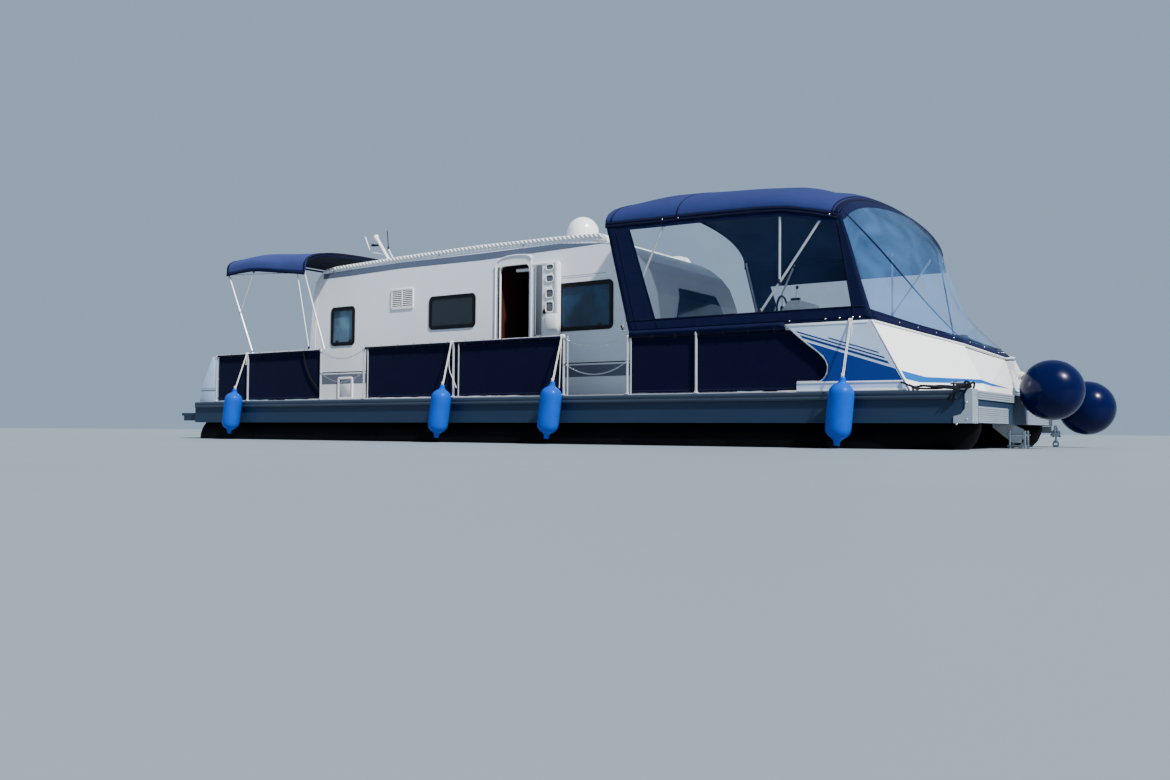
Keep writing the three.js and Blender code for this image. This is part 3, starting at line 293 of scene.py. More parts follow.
CANVAS = woven("acrylic_canvas_navy", "#263266", "#1f2a5a", 0.04)
# the same navy canvas painted darker: painted shade for canvas on the sides, under the roof, in seams,
# pockets and hems
CANVAS_PAINTED_SHADE = woven("acrylic_canvas_painted_shade", "#0c1338", "#090f2e", 0.03)
SCREEN_CLOTH = woven("woven_screen_navy", "#06082a", "#050722", 0.02)
SUN_CANVAS = woven("sun_top_canvas", "#36437b", "#2d396c", 0.04)
BINDING = woven("canvas_binding", "#070a24", "#0a0e2b", 0.03, 90)
print("cloths made")

# %% [markdown]
# The canopy's windows are clear PVC film. It is thin, so it hardly bends what is behind it: the light
# passes or is mirrored. A low alpha lets the light pass, a smooth surface mirrors the sky, and the base
# colour is the faint blue haze of old film. On the windscreen the base colour is a paler sky blue with
# more alpha, which is partly that haze and partly a painted reflection of the sky. A slow ripple makes
# the reflection wander as on the real film. The cabin's windows are tinted acrylic, with blinds behind
# most of them.

# %% Clear and tinted sheets


def film(name, tint_hex, alpha, roughness, ripple_mm):
    material = blank(name)
    where = add(material, "TexCoord")
    ripple = add(
        material,
        "TexNoise",
        {"Vector": (where, "Object"), "Scale": 2.2, "Detail": 3.0, "Distortion": 0.6},
    )
    relief = add(material, "Bump", {"Height": (ripple, 0), "Strength": 0.5, "Distance": ripple_mm * MM})
    haze = add(
        material,
        "MapRange",
        {
            "Value": (ripple, 0),
            "From Min": 0.3,
            "From Max": 0.7,
            "To Min": alpha * 0.6,
            "To Max": alpha * 1.5,
        },
    )
    shader = add(
        material,
        "BsdfPrincipled",
        {
            # the film's tint; on the windscreen it is also a painted reflection of the sky, and on the near
            # opaque glazing a painted shade
            "Base Color": colour(tint_hex),
            "Roughness": roughness,
            "IOR": 1.53,
            "Coat Weight": 0.6,
            "Coat Roughness": 0.04,
            "Alpha": (haze, 0),
            "Normal": (relief, 0),
        },
    )
    add(material, "OutputMaterial", {"Surface": (shader, 0)})
    return material


SIDE_FILM = film("clear_pvc_film", "#3a5c94", 0.05, 0.08, 10)
# the windscreen's paler blue and higher alpha: partly haze, partly a painted reflection of the sky
FRONT_FILM = film("clear_pvc_windscreen", "#6aa4ec", 0.12, 0.06, 16)
GLAZING = film("tinted_acrylic_glazing", "#10202f", 0.32, 0.05, 5)
# the same tinted acrylic, near opaque, for a pane with no blind: painted shade of the cabin behind it
GLAZING_PAINTED_SHADE = film("acrylic_glazing_painted_shade", "#0c1118", 0.86, 0.05, 5)
TINTED = weathered("tinted_acrylic_sheet", "#141f2d", "#1d2b3c", 0.08, 380, 300, 0.4, coat=0.6)
BLIND = weathered("blue_blind", "#98cdf0", "#86bce2", 0.5, 300, 20, 0.1)
# the same blue blind, darker, for the windows that stand in shade: painted shade
BLIND_PAINTED_SHADE = weathered("blue_blind_painted_shade", "#3874a8", "#306796", 0.5, 300, 20, 0.1)
print("films made")

# %% [markdown]
# The deck is made of composite boards, 151 mm wide, that run fore and aft with a shallow groove between
# them. The grooves are a wave on the object's own Y. A second, broad wave dips the deck a little from
# one sheet of boards to the next.

# %% Deck boards
BOARD_MM = 150.8
SHEET_MM = 1759.3


def grooved_boards():
    material = blank("grooved_composite_boards")
    where = add(material, "TexCoord")
    groove = add(
        material,
        "TexWave",
        {"Vector": (where, "Object"), "Scale": wave_scale(BOARD_MM), "Detail": 0.0},
        bands_direction="Y",
    )
    dips = add(
        material,
        "TexWave",
        {"Vector": (where, "Object"), "Scale": wave_scale(SHEET_MM), "Detail": 0.0},
        bands_direction="Y",
        wave_profile="SAW",
    )
    stains = add(material, "TexNoise", {"Vector": (where, "Object"), "Scale": 2.0, "Detail": 6.0})
    tint = add(
        material,
        "Mix",
        {0: (stains, 0), MIX_A: colour("#7a8084"), MIX_B: colour("#5f666c")},
        data_type="RGBA",
    )
    both = add(material, "Math", {0: (groove, 1), 1: (dips, 1)}, operation="ADD")
    relief = add(material, "Bump", {"Height": (both, 0), "Strength": 0.4, "Distance": 2 * MM})
    shader = add(
        material,
        "BsdfPrincipled",
        {"Base Color": (tint, MIXED), "Roughness": 0.7, "Normal": (relief, 0)},
    )
    add(material, "OutputMaterial", {"Surface": (shader, 0)})
    return material


DECK_BOARDS = grooved_boards()
print("deck boards made")

# %% [markdown]
# The floor is plain and a little dark, and it lies at the waterline. The light is a studio's: a pale
# surround, and one broad lamp high ahead, a little to starboard. It grazes the boat's side, so that
# every strip and rim on the walls shows.

# %% Floor and light
floor_mesh = bpy.data.meshes.new("floor")
bm = bmesh.new()
bmesh.ops.create_grid(bm, x_segments=1, y_segments=1, size=150.0)
bm.to_mesh(floor_mesh)
bm.free()
floor = bpy.data.objects.new("floor", floor_mesh)
floor.location = (0, 0, WATERLINE)
bpy.context.collection.objects.link(floor)
floor_mesh.materials.append(weathered("studio_floor", "#7e8a94", "#78848e", 0.6, 4000, 500, 0.1))

world = bpy.data.worlds.new("studio")
world.use_nodes = True
world.node_tree.nodes["Background"].inputs["Color"].default_value = colour("#bcd8f6")
world.node_tree.nodes["Background"].inputs["Strength"].default_value = 0.62
bpy.context.scene.world = world

sun_data = bpy.data.lights.new("key", "SUN")
sun_data.energy = 8.0
sun_data.angle = radians(3)
sun_data.color = (1.0, 0.965, 0.91)
sun = bpy.data.objects.new("key", sun_data)
sun_from = Vector((0.66, -0.22, 0.75))
sun.rotation_euler = sun_from.to_track_quat("Z", "Y").to_euler()
bpy.context.collection.objects.link(sun)
print("studio ready")

# %% [markdown]
# Shapes are made in a bmesh. Each helper below wraps one way of making: a pipe along points, a slab
# from an outline, a turned form, a block with soft edges, and a sheet that is a grid moved into place.
# The last helper turns the bmesh into a finished piece that rides on a body.

# %% Scratch parts and soft edges


def merge(bm, part, slot_index=0):
    """Adds a scratch bmesh to a piece's bmesh, all of it in one material slot."""
    for face in part.faces:
        face.material_index = slot_index
    mesh = bpy.data.meshes.new("part")
    part.to_mesh(mesh)
    part.free()
    bm.from_mesh(mesh)
    bpy.data.meshes.remove(mesh)


def soften(part, edges, offset):
    bmesh.ops.bevel(
        part,
        geom=edges,
        offset=offset,
        segments=2,
        profile=0.5,
        affect="EDGES",
        material=-1,
        clamp_overlap=True,
    )


# %% Pipes


def pipe(bm, points, radius, sides=12, closed=False, smooth=False, slot_index=0):
    """A round tube along points. A smooth one follows a curve through them."""
    data = bpy.data.curves.new("pipe", "CURVE")
    data.dimensions = "3D"
    data.bevel_depth = radius
    data.bevel_resolution = max(0, sides // 4 - 1)
    data.use_fill_caps = not closed
    data.resolution_u = 6
    spline = data.splines.new("BEZIER" if smooth else "POLY")
    if smooth:
        spline.bezier_points.add(len(points) - 1)
        for place, point in zip(points, spline.bezier_points):
            point.co = place
            point.handle_left_type = point.handle_right_type = "AUTO"
    else:
        spline.points.add(len(points) - 1)
        for place, point in zip(points, spline.points):
            point.co = (*place, 1.0)
    spline.use_cyclic_u = closed
    shape = bpy.data.objects.new("pipe", data)
    mesh = bpy.data.meshes.new_from_object(shape)
    mesh.polygons.foreach_set("material_index", [slot_index] * len(mesh.polygons))
    bm.from_mesh(mesh)
    bpy.data.objects.remove(shape)
    bpy.data.curves.remove(data)
    bpy.data.meshes.remove(mesh)


# %% Slabs and blocks


def slab(bm, outline, push, slot_index=0, bevel=0.0):
    """A flat outline pushed along a vector, with softened edges."""
    part = bmesh.new()
    face = part.faces.new([part.verts.new(place) for place in outline])
    pushed = bmesh.ops.extrude_face_region(part, geom=[face])
    moved = [v for v in pushed["geom"] if isinstance(v, bmesh.types.BMVert)]
    bmesh.ops.translate(part, verts=moved, vec=push)
    bmesh.ops.recalc_face_normals(part, faces=part.faces[:])
    if bevel:
        soften(part, part.edges[:], bevel)
    merge(bm, part, slot_index)


def block(bm, low, high, slot_index=0, bevel=0.0):
    """A box between two corners, each a distance aft, a distance to port and a height."""
    part = bmesh.new()
    low, high = at(*low), at(*high)
    size = Vector(abs(a - b) for a, b in zip(high, low))
    bmesh.ops.create_cube(part, size=1.0)
    bmesh.ops.scale(part, verts=part.verts[:], vec=size)
    bmesh.ops.translate(part, verts=part.verts[:], vec=(low + high) / 2)
    if bevel:
        soften(part, part.edges[:], bevel)
    merge(bm, part, slot_index)


# %% Turned forms and skins over rings


def turned(bm, profile, centre, axis, steps, slot_index=0):
    """A form turned on an axis from (radius, height) points."""
    part = bmesh.new()
    verts = [part.verts.new((radius, 0, height)) for radius, height in profile]
    for a, b in zip(verts, verts[1:]):
        part.edges.new((a, b))
    bmesh.ops.spin(
        part,
        geom=part.verts[:] + part.edges[:],
        cent=(0, 0, 0),
        axis=UP,
        angle=2 * pi,
        steps=steps,
        use_merge=True,
    )
    bmesh.ops.remove_doubles(part, verts=part.verts[:], dist=1e-5)
    bmesh.ops.recalc_face_normals(part, faces=part.faces[:])
    aim = axis.to_track_quat("Z", "Y").to_matrix().to_4x4()
    bmesh.ops.transform(part, matrix=Matrix.Translation(centre) @ aim, verts=part.verts[:])
    merge(bm, part, slot_index)


def loft(bm, segments, rows, place):
    """A closed skin with a ring for each row. place(row, x, y) moves a point of the unit circle."""
    rings = []
    for row in rows:
        ring = bmesh.ops.create_circle(bm, cap_ends=False, radius=1.0, segments=segments)["verts"]
        for vertex in ring:
            vertex.co = place(row, vertex.co.x, vertex.co.y)
        rings.append(list({edge for vertex in ring for edge in vertex.link_edges}))
    for a, b in zip(rings, rings[1:]):
        bmesh.ops.bridge_loops(bm, edges=a + b)
    for end in (rings[0], rings[-1]):
        bmesh.ops.holes_fill(bm, edges=end, sides=0)
    bmesh.ops.recalc_face_normals(bm, faces=bm.faces[:])


# %% Sheets


def sheet(bm, columns, rows, place, slot_index=0, choose=None):
    """A grid whose point (u, v), both from 0 to 1, is moved to place(u, v). choose gives a face's slot."""
    made = bmesh.ops.create_grid(bm, x_segments=columns, y_segments=rows, size=0.5, calc_uvs=False)
    flat = {vertex: (vertex.co.x + 0.5, vertex.co.y + 0.5) for vertex in made["verts"]}
    faces = list({face for vertex in made["verts"] for face in vertex.link_faces})
    for face in faces:
        u = sum(flat[v][0] for v in face.verts) / len(face.verts)
        v = sum(flat[v][1] for v in face.verts) / len(face.verts)
        face.material_index = choose(u, v) if choose else slot_index
    for vertex, (u, v) in flat.items():
        vertex.co = place(u, v)
    return faces


def lay_uv(bm, faces, across_axis, along_axis):
    """UVs in metres on faces, measured along two directions, so that a weave keeps its size."""
    layer = bm.loops.layers.uv.verify()
    for face in faces:
        for loop in face.loops:
            loop[layer].uv = (loop.vert.co.dot(across_axis), loop.vert.co.dot(along_axis))


# %% Finished pieces


def piece(name, bm, materials, body="hull", slot=None, replaces=(), sharp=35.0):
    """Turns a bmesh into a finished object that rides on a body."""
    mesh = bpy.data.meshes.new(name)
    bm.to_mesh(mesh)
    bm.free()
    for material in materials:
        mesh.materials.append(material)
    mesh.polygons.foreach_set("use_smooth", [True] * len(mesh.polygons))
    mesh.set_sharp_from_angle(angle=radians(sharp))
    thing = bpy.data.objects.new(name, mesh)
    bpy.context.collection.objects.link(thing)
    if replaces:
        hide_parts(*replaces)
    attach(thing, body)
    print(name, len(mesh.polygons), "faces")
    return thing


# %% Even steps and tables


def between(a, b, share):
    return a + (b - a) * share


def spread(first, last, steps):
    """Evenly spaced values from first to last."""
    return [between(first, last, i / steps) for i in range(steps + 1)]


def turn_angles(steps):
    """The angles of one full turn, in even steps."""
    return [2 * pi * i / steps for i in range(steps)]


def squarish(value):
    """Makes a circle's sine or cosine into that of a rounder square."""
    return copysign(abs(value) ** 0.55, value)


def follow(table, place):
    """The row of a table at a place, with straight lines between its rows. Column 0 is the place."""
    rows = sorted(table)
    if place <= rows[0][0]:
        return rows[0]
    for a, b in zip(rows, rows[1:]):
        if place <= b[0]:
            share = (place - a[0]) / (b[0] - a[0])
            return [between(p, q, share) for p, q in zip(a, b)]
    return rows[-1]


def smooth_follow(table, place):
    """Like follow, with a smooth curve through the rows."""
    rows = sorted(table)
    place = min(max(place, rows[0][0]), rows[-1][0])
    i = 0
    while i < len(rows) - 2 and place > rows[i + 1][0]:
        i += 1
    a, b = rows[i], rows[i + 1]
    before = rows[i - 1] if i else a
    after = rows[i + 2] if i + 2 < len(rows) else b
    span = b[0] - a[0]
    share = (place - a[0]) / span
    values = [place]
    for k in range(1, len(a)):
        slope_a = (b[k] - before[k]) / max(1e-6, b[0] - before[0]) * span
        slope_b = (after[k] - a[k]) / max(1e-6, after[0] - a[0]) * span
        s2, s3 = share**2, share**3
        values.append(
            (2 * s3 - 3 * s2 + 1) * a[k]
            + (s3 - 2 * s2 + share) * slope_a
            + (3 * s2 - 2 * s3) * b[k]
            + (s3 - s2) * slope_b
        )
    return values


# %% [markdown]
# Every construction node that stays visible gets the finish of the real part first. The pieces that
# follow then replace the nodes whose real form is finer than the construction model's.

# %% Finishes of the construction nodes


def paint_node(name, material):
    mesh = nodes[name].data
    for i in range(max(1, len(nodes[name].material_slots))):
        if not mesh.materials:
            mesh.materials.append(material)
        nodes[name].material_slots[i].material = material


FINISHES = {
    "float": POLYETHYLENE,
    "deck_frame": SLATE_PAINT,
    "deck": DECK_BOARDS,
    "bow_corner": CORNER_PAINT,
    "anchor_bracket": GALVANISED,
    "van_floor": OAK_LAMINATE,
    "van_wall": CARAVAN_SKIN,
    "van_roof": CARAVAN_WHITE,
    "window": TINTED,
    "door": WHITE_ABS,
    "door_surround": WHITE_ABS,
    "fridge_vent": WHITE_ABS,
    "service_flap": WHITE_ABS,
    "satellite_dome": WHITE_ABS,
    "bulwark": PALE_PAINT,
    "prow_fairing": GELCOAT,
    "canopy_roof": CANVAS,
    "canopy_side": SIDE_FILM,
    "canopy_front": FRONT_FILM,
    "canopy_frame": ALUMINIUM,
    "helm_console": WHITE_ABS,
    "helm_wheel": BLACK_ABS,
    "railing": ALUMINIUM,
    "cloth": SCREEN_CLOTH,
    "sun_top": SUN_CANVAS,
    "sun_top_frame": ALUMINIUM,
    "fender": FENDER_PVC,
    "bow_ball": BALL_PVC,
    "outboard": MOTOR_PAINT,
    "propeller": ALUMINIUM,
    "boarding_ladder": STAINLESS,
}
for name in sorted(nodes):
    match = max((key for key in FINISHES if name.startswith(key)), key=len)
    paint_node(name, FINISHES[match])
print("finished nodes", len(nodes))

# %% [markdown]
# ## Floats
# Each float is a black moulded tube, closed by a rounded nose that rises at the bow. Short modules are
# welded end to end, which shows as shallow rings. A circle is bridged to the next along the length,
# with a ring of smaller radius at each weld.

# %% Floats
FLOAT_Y = 1.53
FLOAT_RADIUS = 0.42
FLOAT_CENTRE = 0.42
FLOAT_STATIONS = [
    # distance aft, radius, centre height
    (0.04, 0.075, 0.65),
    (0.09, 0.16, 0.63),
    (0.22, 0.25, 0.585),
    (0.45, 0.325, 0.52),
    (0.75, 0.38, 0.465),
    (1.05, 0.411, 0.432),
    (1.24, 0.419, 0.42),
]
WELD_EVERY = 1.42
FLOAT_TAIL = [(12.68, 0.419, 0.42), (12.83, 0.34, 0.42), (12.95, 0.19, 0.42), (12.98, 0.1, 0.42)]


def float_stations():
    stations = list(FLOAT_STATIONS)
    d = FLOAT_STATIONS[-1][0] + 0.1
    while d < FLOAT_TAIL[0][0] - 0.3:
        for offset, dip in ((0, 0), (0.022, 0.007), (0.036, 0.007), (0.058, 0)):
            stations.append((d + offset, FLOAT_RADIUS - 0.001 - dip, FLOAT_CENTRE))
        d += WELD_EVERY
    return stations + FLOAT_TAIL


def float_place(row, x, y):
    sign, d, radius, centre = row
    return at(d, sign * FLOAT_Y + radius * y, centre - DECK - radius * x)


for side, sign in SIDES:
    bm = bmesh.new()
    loft(bm, 48, [(sign, *row) for row in float_stations()], float_place)
    piece(f"float_shell_{side}", bm, [POLYETHYLENE], slot="float_plastic", replaces=[f"float_{side}"])

# %% [markdown]
# ## Rub rail
# A PVC fendering strip covers the upper fascia all round. It is faded, with two ribs, a dark line of
# shade beneath, and joints every few metres. Each length is one small profile pushed along the side.

# %% Rub rail
RAIL_OUT = 2.022
# distance out, height
RAIL_PROFILE = [(0, -0.094), (0.005, -0.09), (0.006, -0.06), (0.0015, -0.054), (0.0015, -0.047)]
RAIL_PROFILE += [(0.006, -0.04), (0.006, -0.012), (0.002, -0.004), (0, -0.002)]
JOINTS = [0.15, 2.9, 5.9, 8.9, 12.78]
for side, sign in SIDES:
    bm = bmesh.new()
    for start, end in zip(JOINTS, JOINTS[1:]):
        outline = [at(start + 0.002, sign * (RAIL_OUT + out), h) for out, h in RAIL_PROFILE]
        slab(bm, outline, ALONG * (start - end + 0.004))
    piece(f"rub_rail_cap_{side}", bm, [RAIL_PAINT], slot="slate_paint", sharp=50)

# %% [markdown]
# ## Bow corners
# A pale plate folds round each corner of the raft, held by bolts. A dark rope stays wound on the cleat
# and laid beside it. Its turns are closed rings, each with its own size.

# %% Bow corner fittings


def bolt_head(bm, place, axis, radius, slot_index=0):
    """A low domed bolt head that looks along an axis."""
    profile = [
        (0, 0),
        (radius * 1.35, 0),
        (radius * 1.35, 0.002),
        (radius, 0.005),
        (radius * 0.5, 0.007),
        (0, 0.0075),
    ]
    turned(bm, profile, place, axis, 10, slot_index)


CORNER_Y = 2.008
ROPE_TURNS = [
    # distance aft, half length, side, half width, height, rise, phase
    (0.11, 0.062, 1.905, 0.026, 0.02, 0.003, 0.0),
    (0.11, 0.066, 1.905, 0.03, 0.036, 0.004, 1.0),
    (0.115, 0.062, 1.905, 0.028, 0.052, 0.004, 2.2),
    (0.06, 0.03, 1.905, 0.03, 0.055, 0.03, 0.4),
    (0.17, 0.03, 1.91, 0.03, 0.055, 0.03, 2.6),
    # turns that lie along the deck edge
    (0.26, 0.14, 1.93, 0.05, 0.03, 0.014, 0.7),
    (0.33, 0.2, 1.955, 0.045, 0.034, 0.018, 1.9),
    (0.42, 0.17, 1.96, 0.04, 0.03, 0.016, 3.0),
    (0.62, 0.09, 1.985, 0.03, 0.05, 0.038, 1.6),
    # turns that hang over the corner
    (0.13, 0.05, 2.015, 0.03, -0.035, 0.085, -1.4),
    (0.17, 0.06, 2.02, 0.028, -0.02, 0.075, -1.7),
    (0.03, 0.05, 1.97, 0.06, 0.0, 0.07, -1.2),
]

for side, sign in SIDES:
    bm = bmesh.new()
    for d, h in ((0.05, -0.13), (0.05, -0.3), (0.15, -0.35)):
        bolt_head(bm, at(d, sign * CORNER_Y, h), ACROSS * sign, 0.008)
    for y in (1.95, 1.86):
        for h in (-0.05, -0.33):
            bolt_head(bm, at(-0.008, sign * y, h), ALONG, 0.008)
    piece(f"bow_corner_fittings_{side}", bm, [STAINLESS], slot="light_paint")

    bm = bmesh.new()
    for d, half_d, y, half_y, h, rise, phase in ROPE_TURNS:
        points = []
        for angle in turn_angles(16):
            wobble = 1 + 0.08 * sin(3 * angle + 5 * phase)
            reach = sign * (y + half_y * wobble * sin(angle))
            lift = rise * sin(angle + phase)
            points.append(at(d + half_d * wobble * cos(angle), reach, h + lift))
        pipe(bm, points, 0.0105, 8, closed=True, smooth=True)
    piece(f"bow_cleat_rope_{side}", bm, [ROPE_DARK], slot="float_plastic")

# %% [markdown]
# ## Anchor chain
# A chain is one link, made once as a closed wire and set down again and again, each a quarter turn on
# from the last. Short ends hang from the anchor roller and from the bar under the port corner.

# %% Chain helper


def link_mesh(length, width, wire):
    bm = bmesh.new()
    half = length / 2 - width / 2
    points = []
    for centre, start in ((half, -90), (-half, 90)):
        for step in range(4):
            angle = radians(start + step * 60)
            points.append(Vector((centre + width / 2 * cos(angle), width / 2 * sin(angle), 0)))
    pipe(bm, points, wire, 12, closed=True)
    mesh = bpy.data.meshes.new("link")
    bm.to_mesh(mesh)
    bm.free()
    return mesh


def chain(bm, points, length, width, wire):
    """Links set along a line of points, each turned a quarter from the last."""
    template = link_mesh(length, width, wire)
    pitch = length - 2.4 * wire  # the inside length, less a little play
    legs = list(zip(points, points[1:]))
    total = sum((b - a).length for a, b in legs)
    count = max(2, round(total / pitch))
    for i in range(count):
        along = (i + 0.5) / count * total
        for a, b in legs:
            if along <= (b - a).length or (a, b) == legs[-1]:
                break
            along -= (b - a).length
        direction = (b - a).normalized()
        spin = Euler((radians(90 * (i % 2) + 20), 0, 0)).to_matrix().to_4x4()
        aim = direction.to_track_quat("X", "Z").to_matrix().to_4x4()
        link = template.copy()
        link.transform(Matrix.Translation(a + direction * along) @ aim @ spin)
        bm.from_mesh(link)
        bpy.data.meshes.remove(link)
    bpy.data.meshes.remove(template)
    return count


# %% Anchor chain
bm = bmesh.new()
CHAIN = {"length": 0.085, "width": 0.058, "wire": 0.011}
BAR_Y = 1.932  # the chain bar under the port corner
links = chain(bm, [at(-0.05, 0.0, -0.44), at(-0.052, 0.004, -0.58), at(-0.04, 0.02, -0.68)], **CHAIN)
links += chain(bm, [at(-0.06, BAR_Y, -0.36), at(-0.064, BAR_Y, -0.44)], **CHAIN)
links += chain(bm, [at(-0.064, BAR_Y, -0.49), at(-0.06, 1.93, -0.6), at(-0.05, 1.92, -0.72)], **CHAIN)
pipe(bm, [at(0.0, BAR_Y, -0.457), at(-0.118, BAR_Y, -0.4665)], 0.0185, 20)
for d in (-0.03, -0.112):
    turned(bm, [(0, -0.008), (0.027, -0.008), (0.027, 0.008), (0, 0.008)], at(d, BAR_Y, -0.462), ALONG, 20)
# the roller sits in a small cage of rods
for _, sign in SIDES:
    y = sign * 0.078
    for d in (0.065, -0.1):
        pipe(bm, [at(d, y, -0.41), at(d, y, -0.635)], 0.012, 12)
    for h in (-0.46, -0.585):
        pipe(bm, [at(0.095, y, h), at(-0.125, y, h)], 0.01, 12)
roller = [(0, -0.045), (0.038, -0.045), (0.038, -0.03), (0.031, -0.012)]
roller += [(0.031, 0.012), (0.038, 0.03), (0.038, 0.045), (0, 0.045)]
turned(bm, roller, at(-0.02, 0, -0.534), ACROSS, 24, 1)
piece("anchor_chain", bm, [GALVANISED, RUBBER], slot="steel")
print("anchor chain links", links)

# %% [markdown]
# ## Caravan walls
# The walls are painted aluminium sheet with a pressed stucco grain, which the finish gives as relief.
# Vinyl bands and white corner profiles are thin strips laid on it, each from a short outline.

# %% Wall bands and corner profiles
WALL_Y = 1.15
SUNK = 0.001  # how deep a strip sinks into what it is laid on
BAND = [(10.6, 2.04), (10.6, 2.125), (9.98, 2.145), (8.85, 2.165), (7.2, 2.16), (5.76, 2.165), (4.98, 2.1)]
BAND += [(5.76, 2.08), (7.2, 2.056), (8.85, 2.071), (9.98, 2.045)]
STRIPE_LOW, STRIPE_HIGH = 0.295, 0.455
REAR_PROFILE = [(10.926, 0.02), (10.912, 0.9), (10.847, 1.76), (10.777, 2.01), (10.68, 2.11), (10.6, 2.13)]
REAR_PROFILE += [(10.6, 2.04), (10.7, 1.93), (10.75, 1.72), (10.775, 1.21), (10.79, 0.02)]
FRONT_PROFILE = [(4.127, 0.36), (4.127, 1.0), (4.172, 1.367), (4.227, 1.52), (4.292, 1.68), (4.422, 1.84)]
FRONT_PROFILE += [(4.602, 1.985), (4.762, 2.073), (5.1, 2.145), (5.1, 2.125), (4.77, 2.05), (4.615, 1.965)]
FRONT_PROFILE += [(4.44, 1.825), (4.312, 1.67), (4.25, 1.512), (4.195, 1.36), (4.152, 0.99), (4.152, 0.36)]


def wall_strip(bm, outline, sign, proud, slot_index):
    """A thin strip on the caravan's side, from points of distance aft and height."""
    places = [at(d, sign * (WALL_Y - SUNK), h) for d, h in outline]
    slab(bm, places, ACROSS * sign * (proud + SUNK), slot_index)


def level(d0, d1, low, high):
    return [(d0, low), (d1, low), (d1, high), (d0, high)]


for side, sign in SIDES:
    bm = bmesh.new()
    wall_strip(bm, BAND, sign, 0.0012, 0)
    runs = [(4.14, 6.24), (6.93, 10.92)] if sign == STARBOARD else [(4.14, 10.92)]
    for d0, d1 in runs:
        wall_strip(bm, level(d0, d1, STRIPE_LOW, STRIPE_HIGH), sign, 0.0012, 1)
        wall_strip(bm, level(d0, d1, 0.478, 0.492), sign, 0.0016, 4)
        wall_strip(bm, level(d0, d1, 0.012, 0.05), sign, 0.006, 3)
    wall_strip(bm, REAR_PROFILE, sign, 0.004, 2)
    wall_strip(bm, FRONT_PROFILE, sign, 0.004, 2)
    # two fine lines under the band, as on many caravans
    wall_strip(bm, level(4.98, 5.72, 1.694, 1.7), sign, 0.001, 1)
    wall_strip(bm, level(5.2, 5.72, 1.668, 1.674), sign, 0.001, 1)
    materials = [BAND_BLUE, BAND_GREY, CARAVAN_WHITE, ALUMINIUM, BLACK_ABS]
    piece(f"van_trim_{side}", bm, materials, slot="van_skin", sharp=30)

# %% [markdown]
# ## Caravan roof
# The roof is a skin with a raised rim. Both are slabs pushed across the boat from an outline of its
# side, and a crowned sheet closes the top. A cord of clear tube is wound along the rim, which gives the
# edge its scalloped look: two pipes follow sine waves that cross over and over.

# %% Caravan roof
ROOF_UNDER = [(5.252, 2.143), (5.6, 2.168), (10.4, 2.154), (10.62, 2.11)]
ROOF_OUTER = [(5.252, 2.18), (5.6, 2.204), (10.4, 2.189), (10.636, 2.141)]
RIM_TOP = [(4.955, 2.165), (5.0, 2.215), (5.1, 2.246), (5.77, 2.268), (7.23, 2.286), (8.87, 2.264)]
RIM_TOP += [(10.0, 2.236), (10.4, 2.222), (10.56, 2.195), (10.62, 2.155)]
RIM_LOW = [(4.955, 2.124), (5.25, 2.185), (5.6, 2.207), (10.4, 2.192), (10.62, 2.148)]
CORD_PITCH = 0.15
RIM_Y = 1.158  # the rim's outer face
ROOF_HALF = 1.07  # half the width of the top


def rim_place(d):
    return smooth_follow(RIM_TOP, d)[1]


def follow_slab(bm, top, low, y0, y1, slot_index, bevel=0.0):
    outline = [at(d, y0, h) for d, h in top] + [at(d, y0, h) for d, h in low[::-1]]
    slab(bm, outline, ACROSS * (y1 - y0), slot_index, bevel)


def roof_top_place(u, v):
    d = between(5.06, 10.55, v)
    y = between(-ROOF_HALF, ROOF_HALF, u)
    swell = 0.012 * sin(pi * u) * sin(pi * v) ** 0.4 if 0 < v < 1 else 0.0
    return at(d, y, follow(RIM_LOW, d)[1] + 0.022 + swell)


bm = bmesh.new()
follow_slab(bm, ROOF_OUTER, ROOF_UNDER, -1.1105, 1.1105, 1)
for _, sign in SIDES:
    follow_slab(bm, RIM_TOP, [(d, h - 0.014) for d, h in RIM_LOW], sign * 1.062, sign * RIM_Y, 0, 0.02)
    for d in (10.35, 8.02, 6.4):
        bolt_head(bm, at(d, sign * RIM_Y, rim_place(d) - 0.075), ACROSS * sign, 0.008, 3)
for d in (4.99, 10.6):
    h = follow(RIM_LOW, d)[1]
    block(bm, (d - 0.03, -ROOF_HALF, h - 0.004), (d + 0.02, ROOF_HALF, h + 0.03), 0, 0.008)
sheet(bm, 24, 60, roof_top_place, 1)
for d, y, half in ((6.9, 0.0, 0.25), (9.1, 0.0, 0.2), (8.0, 0.55, 0.12)):
    h = follow(RIM_LOW, d)[1] + 0.02
    outer = half + 0.02
    block(bm, (d - outer, y - outer, h), (d + outer, y + outer, h + 0.035), 0, 0.01)
    block(bm, (d - half, y - half, h + 0.03), (d + half, y + half, h + 0.075), 2, 0.03)
for _, sign in SIDES:
    for phase in (0, pi):
        points = []
        for d in spread(5.03, 10.5, 439):
            angle = 2 * pi * (d - 5.0) / CORD_PITCH + phase
            out = RIM_Y - 0.001 + 0.009 * cos(angle)
            points.append(at(d, sign * out, rim_place(d) - 0.03 + 0.022 * sin(angle)))
        pipe(bm, points, 0.0065, 8)

